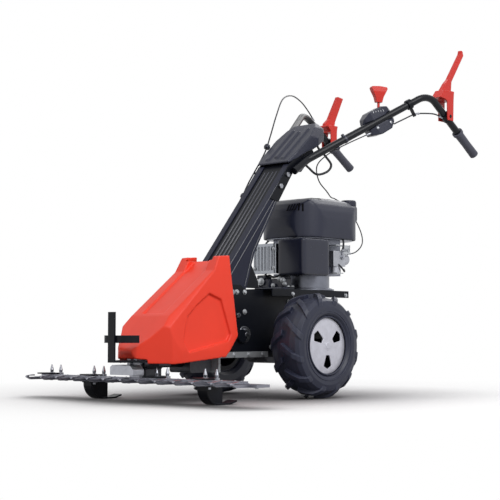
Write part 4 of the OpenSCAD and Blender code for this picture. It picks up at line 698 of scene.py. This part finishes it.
class MOWER_OT_frame_trim(bpy.types.Operator):
    """Put bolts and bosses on the plates, and beads, a ribbed web and gussets on the column"""
    bl_idname = "mower.frame_trim"
    bl_label = "Frame bolts and beads"

    def execute(self, context):
        self.bolts()
        self.bosses()
        self.beads()
        self.web()
        self.gussets()
        return {"FINISHED"}

    def bolts(self):
        mesh = bmesh.new()
        for side in (-1, 1):
            way = (0, side, 0)
            for x, z, size in PLATE_BOLTS:
                hex_head(mesh, facing(point(x, side * PLATE_Y, z), way), size / MM, 0.0065)
            for x in DECK_BOLTS:
                hex_head(mesh, facing(point(x, side * DECK_Y, 331), way), 0.005, 0.005)
            for x in RAIL_BOLTS:
                hex_head(mesh, facing(point(x, side * RAIL_Y, 137), way), 0.0055, 0.005)
        finish_piece("plate_bolts", mesh, "zinc", "chassis", 0.0005)

    def bosses(self):
        mesh = bmesh.new()
        for side in (-1, 1):
            place = facing(point(164, side * PLATE_Y, 200), (0, side, 0))
            disc(mesh, place, 0.026, -SINK, 0.003)
            disc(mesh, place, 0.019, 0.003, 0.009, 0.017)
            disc(mesh, place, 0.008, 0.009, 0.013, sides=6)
        finish_piece("plate_bosses", mesh, "bright", "chassis", 0.0008)

    def beads(self):
        mesh = bmesh.new()
        for side in (-1, 1):
            for ends in BEAD_LINES:
                stops = [point(x, side * BEAM_Y, z) for x, z in ends]
                for first, last in zip(stops, stops[1:]):
                    way = last - first
                    disc(mesh, facing(first, way), BEAD_RADIUS, 0, way.length, sides=12)
                for stop in stops:
                    bmesh.ops.create_uvsphere(mesh, u_segments=12, v_segments=8, radius=BEAD_RADIUS,
                                              matrix=Matrix.Translation(stop))
        finish_piece("beam_beads", mesh, "bead", "chassis")

    def web(self):
        mesh = bmesh.new()
        sloped_bar(mesh, point(268, 0, 361), point(-64, 0, 768), (0, 1, 0), 0.0872, 0.003)
        finish_piece("column_web", mesh, "black", "chassis", 0.0012)
        mesh = bmesh.new()
        for y in RIB_PLACES:
            sloped_bar(mesh, point(266, y, 364.5), point(-40, y, 739.5), (0, 1, 0), 0.006, 0.005)
        finish_piece("web_ribs", mesh, "bead", "chassis", 0.002)

    def gussets(self):
        mesh = bmesh.new()
        for side in (-1, 1):
            face = mesh.faces.new([mesh.verts.new(point(x, side * 62, z)) for x, z in GUSSET])
            grown = bmesh.ops.extrude_face_region(mesh, geom=[face])["geom"]
            bmesh.ops.translate(mesh, vec=(0, -side * 0.004, 0),
                                verts=[item for item in grown if isinstance(item, bmesh.types.BMVert)])
        finish_piece("column_gussets", mesh, "black", "chassis", 0.001)


# Bolts at the engine's foot: place and size
FOOT_BOLTS = ((-56, -62, 376, 9.5), (-58, 20, 384, 6), (-56, 36, 378, 7.5), (-54, 46, 366, 6),
              (-54, -6, 362, 5.5))
# Lower and upper ends, and radius, of the flange's two steps
FLANGE_STEPS = ((346.4, 353, 92), (353, 356, 84))
# Stops and radius of each hose
HOSES = (([(-84, -60, 392), (-66, -34, 396), (-58, -8, 390), (-66, 18, 394), (-88, 40, 398)], 4.0),
         ([(-92, -70, 398), (-86, -88, 420), (-96, -98, 460), (-118, -100, 505), (-140, -96, 524)], 3.0),
         ([(-262, 112, 470), (-262, 124, 490), (-268, 122, 510), (-276, 112, 524)], 3.5),
         ([(-240, 116, 440), (-250, 128, 424), (-272, 122, 412), (-292, 104, 420)], 3.0))
SPRING_ENDS, SPRING_TURNS, SPRING_RADIUS, SPRING_STEPS = ((-252, 123, 478), (-296, 124, 488)), 11, 0.0035, 12
VENTS, VENT_PITCH, VENT_HALF = 6, 11.5, 0.013


class MOWER_OT_engine_trim(bpy.types.Operator):
    """Add the engine's feet, bolts, hoses, linkage, and vents as near-black bars of painted shade"""
    bl_idname = "mower.engine_trim"
    bl_label = "Engine trim"

    def execute(self, context):
        self.base()
        self.bolts()
        self.hoses()
        self.linkage()
        self.vents()
        return {"FINISHED"}

    def base(self):
        mesh = bmesh.new()
        block(mesh, (-100, -86, 346.3), (-48, 50, 356))
        block(mesh, (-92, -78, 355), (-62, 42, 386))
        for y in (-70, -28, 34):
            block(mesh, (-64, y - 4, 355), (-54, y + 4, 384))
        block(mesh, (-90, -84, 384), (-58, -44, 398))
        block(mesh, (-90, 6, 384), (-60, 44, 392))
        finish_piece("engine_foot", mesh, "gloss", "chassis", 0.003)
        mesh = bmesh.new()
        place = Matrix.Translation(point(-220, 0, 0))
        for low, high, radius in FLANGE_STEPS:
            disc(mesh, place, radius / MM, low / MM, high / MM, sides=64)
        finish_piece("crankcase_flange", mesh, "case", "chassis", 0.0015)

    def bolts(self):
        mesh = bmesh.new()
        for x, y, z, size in FOOT_BOLTS:
            hex_head(mesh, facing(point(x, y, z), (1, 0.25, 0.1)), size / MM, size * 0.8 / MM)
        for x in (-72, -92):
            for y in (-80, 45):
                hex_head(mesh, facing(point(x, y, 356), (0, 0, 1)), 0.0065, 0.006)
        for z in (420, 484):
            for y in (-88, 0):
                hex_head(mesh, facing(point(-50.2, y, z), (1, 0, 0)), 0.0045, 0.0035)
        finish_piece("engine_bolts", mesh, "zinc", "chassis", 0.0004)

    def hoses(self):
        routes = [(smooth_route(stops), radius) for stops, radius in HOSES]
        hose("engine_hoses", routes, "cable")

    def linkage(self):
        mesh = bmesh.new()
        block(mesh, (-300, 92, 498), (-226, 124, 501))
        block(mesh, (-300, 121, 470), (-262, 124, 501))
        block(mesh, (-262, 100, 404), (-226, 126, 407))
        for x, z in ((-290, 482), (-270, 492)):
            disc(mesh, facing(point(x, 124, z), (0, 1, 0)), 0.004, 0, 0.003, sides=6)
        finish_piece("governor_bracket", mesh, "zinc", "chassis", 0.0007)
        start, end = (point(*at) for at in SPRING_ENDS)
        way = end - start
        place = facing(start, way)
        steps = SPRING_TURNS * SPRING_STEPS
        spiral = []
        for i in range(steps + 1):
            turn = i * math.tau / SPRING_STEPS
            spiral.append(place @ Vector((SPRING_RADIUS * math.cos(turn), SPRING_RADIUS * math.sin(turn),
                                          way.length * i / steps)))
        hose("governor_spring", [(spiral, 0.6)], "bright")

    def vents(self):
        # Near-black bars on the shroud's face: painted shade standing in for open vent slots
        shell = bpy.data.objects["engine_shroud_moulding"]
        mesh = bmesh.new()
        for i in range(VENTS):
            at, normal = surface(shell, point(60, 30 + i * VENT_PITCH, 690), (-0.81, 0, -0.36))
            along = (Vector((0, 0, 1)) - normal * normal.z).normalized()
            half = along * VENT_HALF
            sloped_bar(mesh, at - half, at + half, normal.cross(along), 0.0058, 0.0024)
        finish_piece("shroud_vents", mesh, "slot_shade", "chassis", 0.001)


POD_SCREWS = ((-353, 206, 902), (-398, 229, 925))
# Heights of the scale marks, the first mark's place, and the step to the next
POD_MARKS, POD_FIRST, POD_STEP = (9, 5, 5, 5, 9), (-338, 198, 955.5), (-8.5, 4.3, 2.0)
# Ways out of the pod's near face and up along it, and how far off a ray starts
POD_OUT, POD_UP, POD_OFF = (0.4493, 0.8934, 0), (0.43, -0.22, 0.87), 0.1


class MOWER_OT_pod_trim(bpy.types.Operator):
    """Add the throttle pod's screws and plain scale marks"""
    bl_idname = "mower.pod_trim"
    bl_label = "Throttle pod trim"

    def execute(self, context):
        pod = bpy.data.objects["throttle_pod_moulding"]
        out = Vector(POD_OUT)
        mesh = bmesh.new()
        for spot in POD_SCREWS:
            at, normal = surface(pod, point(*spot) + out * POD_OFF, -out)
            screw_head(mesh, facing(at, normal), 0.0048, 0.0022)
        finish_piece("pod_screws", mesh, "zinc", "chassis", 0.0004)
        mesh = bmesh.new()
        for i, high in enumerate(POD_MARKS):
            spot = point(*(first + i * step for first, step in zip(POD_FIRST, POD_STEP)))
            at, normal = surface(pod, spot + out * POD_OFF, -out)
            up = Vector(POD_UP)
            up = (up - normal * up.dot(normal)).normalized()
            half = up * high / 2 / MM
            sloped_bar(mesh, at - half, at + half, normal.cross(up), 0.0022, 0.0010)
        finish_piece("pod_marks", mesh, "mark", "chassis")
        return {"FINISHED"}


# Radius of each sidewall ring, how far in from the tyre's side it lies, and its thickness
SIDEWALL_RINGS = ((0.0905, 0.0072, 0.0030), (0.108, 0.0012, 0.0016))


class MOWER_OT_wheel_trim(bpy.types.Operator):
    """Add sidewall rings, hub caps and valves to the wheels"""
    bl_idname = "mower.wheel_trim"
    bl_label = "Wheel trim"

    def execute(self, context):
        rings, caps, valves = bmesh.new(), bmesh.new(), bmesh.new()
        for side in (-1, 1):
            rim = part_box("left_tyre")[1][1] if side > 0 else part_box("right_tyre")[0][1]
            for radius, inset, thick in SIDEWALL_RINGS:
                self.ring(rings, Vector((AXLE_X, rim - side * inset, AXLE_Z)), radius, thick)
            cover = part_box("wheel_covers")[1][1] * side
            place = facing(Vector((AXLE_X, cover, AXLE_Z)), (0, side, 0))
            disc(caps, place, 0.017, -0.004, 0.0006, 0.015, 40)
            disc(caps, place, 0.0105, 0.0006, 0.0016, 0.0095, 40)
            spot = facing(Vector((AXLE_X + 0.078, cover - side * 0.014, AXLE_Z + 0.012)), (0.25, side, 0))
            disc(valves, spot, 0.0036, -0.006, 0.004, 0.003)
            disc(valves, spot, 0.0028, 0.004, 0.010)
        finish_piece("sidewall_rings", rings, "tyre", "axle")
        finish_piece("hub_caps", caps, "cover", "axle", 0.0006)
        finish_piece("tyre_valves", valves, "cable", "axle", 0.0004)
        return {"FINISHED"}

    def ring(self, mesh, centre, radius, thick):
        """A raised ring round the axle's line"""
        start = centre + Vector((radius, 0, 0))
        made = bmesh.ops.create_circle(mesh, segments=12, radius=thick, matrix=facing(start, (0, 0, 1)))
        edges = list({edge for vert in made["verts"] for edge in vert.link_edges})
        bmesh.ops.spin(mesh, geom=made["verts"] + edges, cent=centre, axis=(0, 1, 0), angle=math.tau,
                       steps=96, use_merge=True, use_duplicate=False)


FINGERS = 13


class MOWER_OT_bar_trim(bpy.types.Operator):
    """Rivet the knife sections and give the finger bar its bolts"""
    bl_idname = "mower.bar_trim"
    bl_label = "Cutter bar trim"

    def execute(self, context):
        low, high = (Vector(corner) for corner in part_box("finger_bar"))
        pitch = (high.y - low.y) / FINGERS
        knife_low, knife_high = (Vector(corner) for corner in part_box("knife"))
        rivets, bolts = bmesh.new(), bmesh.new()
        for i in range(FINGERS):
            y = low.y + (i + 0.5) * pitch
            hex_head(bolts, facing(Vector((low.x + 0.012, y, low.z)), (0, 0, -1)), 0.0055, 0.005)
            if i < FINGERS - 1:
                for shift in (-0.012, 0.012):
                    spot = Vector((knife_low.x + 0.006, y + pitch / 2 + shift, knife_high.z))
                    disc(rivets, facing(spot, (0, 0, 1)), 0.0034, -SINK, 0.0012, 0.0022, 16)
        finish_piece("section_rivets", rivets, "bright", "knife")
        finish_piece("finger_bolts", bolts, "zinc", "chassis", 0.0004)
        return {"FINISHED"}


def lamp(name, at, target, size, power):
    """A soft square lamp that looks at the target"""
    data = bpy.data.lights.new(name, "AREA")
    data.shape = "RECTANGLE"
    data.size, data.size_y = size
    data.energy = power
    obj = linked(name, data)
    obj.location = at
    obj.rotation_euler = (Vector(target) - Vector(at)).to_track_quat("-Z", "Y").to_euler()


class MOWER_OT_studio(bpy.types.Operator):
    """Set up the pale floor with its painted contact shadow, the soft lamps, the world and the camera"""
    bl_idname = "mower.studio"
    bl_label = "Studio"

    def execute(self, context):
        scene = context.scene
        scene.view_settings.view_transform = "Standard"
        self.floor()
        self.world(scene)
        lamp("key", (0.8, 3.3, 2.9), (0.1, 0, 0.5), (2.6, 2.6), 112)
        lamp("fill", (3.0, -1.6, 2.8), (0.2, 0, 0.4), (2.5, 2.5), 26)
        lamp("back", (-2.6, -0.6, 2.8), (-0.1, 0, 0.6), (2.5, 2.0), 40)
        self.camera(scene)
        return {"FINISHED"}

    def floor(self):
        mesh = bmesh.new()
        bmesh.ops.create_grid(mesh, x_segments=1, y_segments=1, size=60)
        data = bpy.data.meshes.new("floor")
        mesh.to_mesh(data)
        mesh.free()
        obj = linked("floor", data)
        g = Graph("floor_white_painted_shadow")
        g.put(Roughness=0.9, Specular_IOR_Level=0.1)
        seen = self.seen(g.tree)
        # Painted contact shadow: camera rays see the floor's colour darkened where ambient occlusion finds
        # the machine close
        near = g.add("ShaderNodeAmbientOcclusion", samples=16)
        near.inputs["Distance"].default_value = 0.75
        shade = g.ramp(near.outputs["AO"], (0.35, (0.10, 0.095, 0.10)), (0.78, (0.42, 0.41, 0.42)),
                       (0.98, (0.97, 0.965, 0.97)))
        g.paint(g.mix(seen, (0.34, 0.34, 0.34, 1), shade))
        away = g.add("ShaderNodeVectorMath", operation="LENGTH")
        g.join(g.place, away.inputs[0])
        spread = g.add("ShaderNodeMapRange", interpolation_type="SMOOTHSTEP")
        for key, value in (("From Min", 0.5), ("From Max", 1.6), ("To Min", 0.0), ("To Max", 1.0)):
            spread.inputs[key].default_value = value
        g.join(away.outputs["Value"], spread.inputs["Value"])
        share = g.add("ShaderNodeMath", operation="MULTIPLY")
        g.join(spread.outputs["Result"], share.inputs[0])
        g.join(seen, share.inputs[1])
        glow = g.add("ShaderNodeEmission")
        blend = g.add("ShaderNodeMixShader")
        g.join(share.outputs[0], blend.inputs[0])
        g.join(g.shader.outputs[0], blend.inputs[1])
        g.join(glow.outputs[0], blend.inputs[2])
        g.join(blend.outputs[0], g.tree.nodes["Material Output"].inputs["Surface"])
        data.materials.append(g.material)

    def seen(self, tree):
        """1 for rays that show the backdrop itself, 0 for those that carry its light"""
        path = tree.nodes.new("ShaderNodeLightPath")
        out = path.outputs["Is Camera Ray"]
        for kind in ("Is Glossy Ray", "Is Transmission Ray"):
            most = tree.nodes.new("ShaderNodeMath")
            most.operation = "MAXIMUM"
            tree.links.new(out, most.inputs[0])
            tree.links.new(path.outputs[kind], most.inputs[1])
            out = most.outputs[0]
        return out

    def world(self, scene):
        world = bpy.data.worlds.new("studio")
        world.use_nodes = True
        scene.world = world
        tree = world.node_tree
        back = tree.nodes["Background"]
        back.inputs["Color"].default_value = (1, 1, 1, 1)
        strength = tree.nodes.new("ShaderNodeMapRange")
        strength.inputs["To Min"].default_value = 0.4
        strength.inputs["To Max"].default_value = 1.0
        tree.links.new(self.seen(tree), strength.inputs["Value"])
        tree.links.new(strength.outputs[0], back.inputs["Strength"])

    def camera(self, scene):
        s = sizes()
        data = bpy.data.cameras.new("photo")
        data.sensor_width = 36.0
        data.lens = s.lens
        data.clip_end = 200.0
        obj = linked("photo", data)
        obj.location = Vector(s.camera_at) + Vector((AXLE_X, 0, 0))
        aim = Vector((-math.cos(s.camera_turn) * math.cos(s.camera_tilt),
                      -math.sin(s.camera_turn) * math.cos(s.camera_tilt), math.sin(s.camera_tilt)))
        obj.rotation_euler = aim.to_track_quat("-Z", "Y").to_euler()
        scene.camera = obj


OPERATORS = [MOWER_OT_finishes, MOWER_OT_mouldings, MOWER_OT_tubes, MOWER_OT_cables, MOWER_OT_frame_trim,
             MOWER_OT_engine_trim, MOWER_OT_pod_trim, MOWER_OT_wheel_trim, MOWER_OT_bar_trim, MOWER_OT_studio]


class MOWER_PT_panel(bpy.types.Panel):
    """Lists the steps that dress the mower"""
    bl_idname = "MOWER_PT_panel"
    bl_label = "Sickle Bar Mower"
    bl_space_type = "VIEW_3D"
    bl_region_type = "UI"
    bl_category = "Mower"

    def draw(self, context):
        for group in (context.scene.mower_colours, context.scene.mower_sizes):
            for name in group.bl_rna.properties.keys():
                if name not in ("rna_type", "name"):
                    self.layout.prop(group, name)
        for step in OPERATORS:
            self.layout.operator(step.bl_idname)


CLASSES = [MowerColours, MowerSizes, *OPERATORS, MOWER_PT_panel]


def register():
    for item in CLASSES:
        bpy.utils.register_class(item)
    bpy.types.Scene.mower_colours = PointerProperty(type=MowerColours)
    bpy.types.Scene.mower_sizes = PointerProperty(type=MowerSizes)


def unregister():
    del bpy.types.Scene.mower_sizes
    del bpy.types.Scene.mower_colours
    for item in reversed(CLASSES):
        bpy.utils.unregister_class(item)


def main():
    register()
    for step in OPERATORS:
        group, name = step.bl_idname.split(".")
        getattr(getattr(bpy.ops, group), name)()


if __name__ == "__main__":
    main()
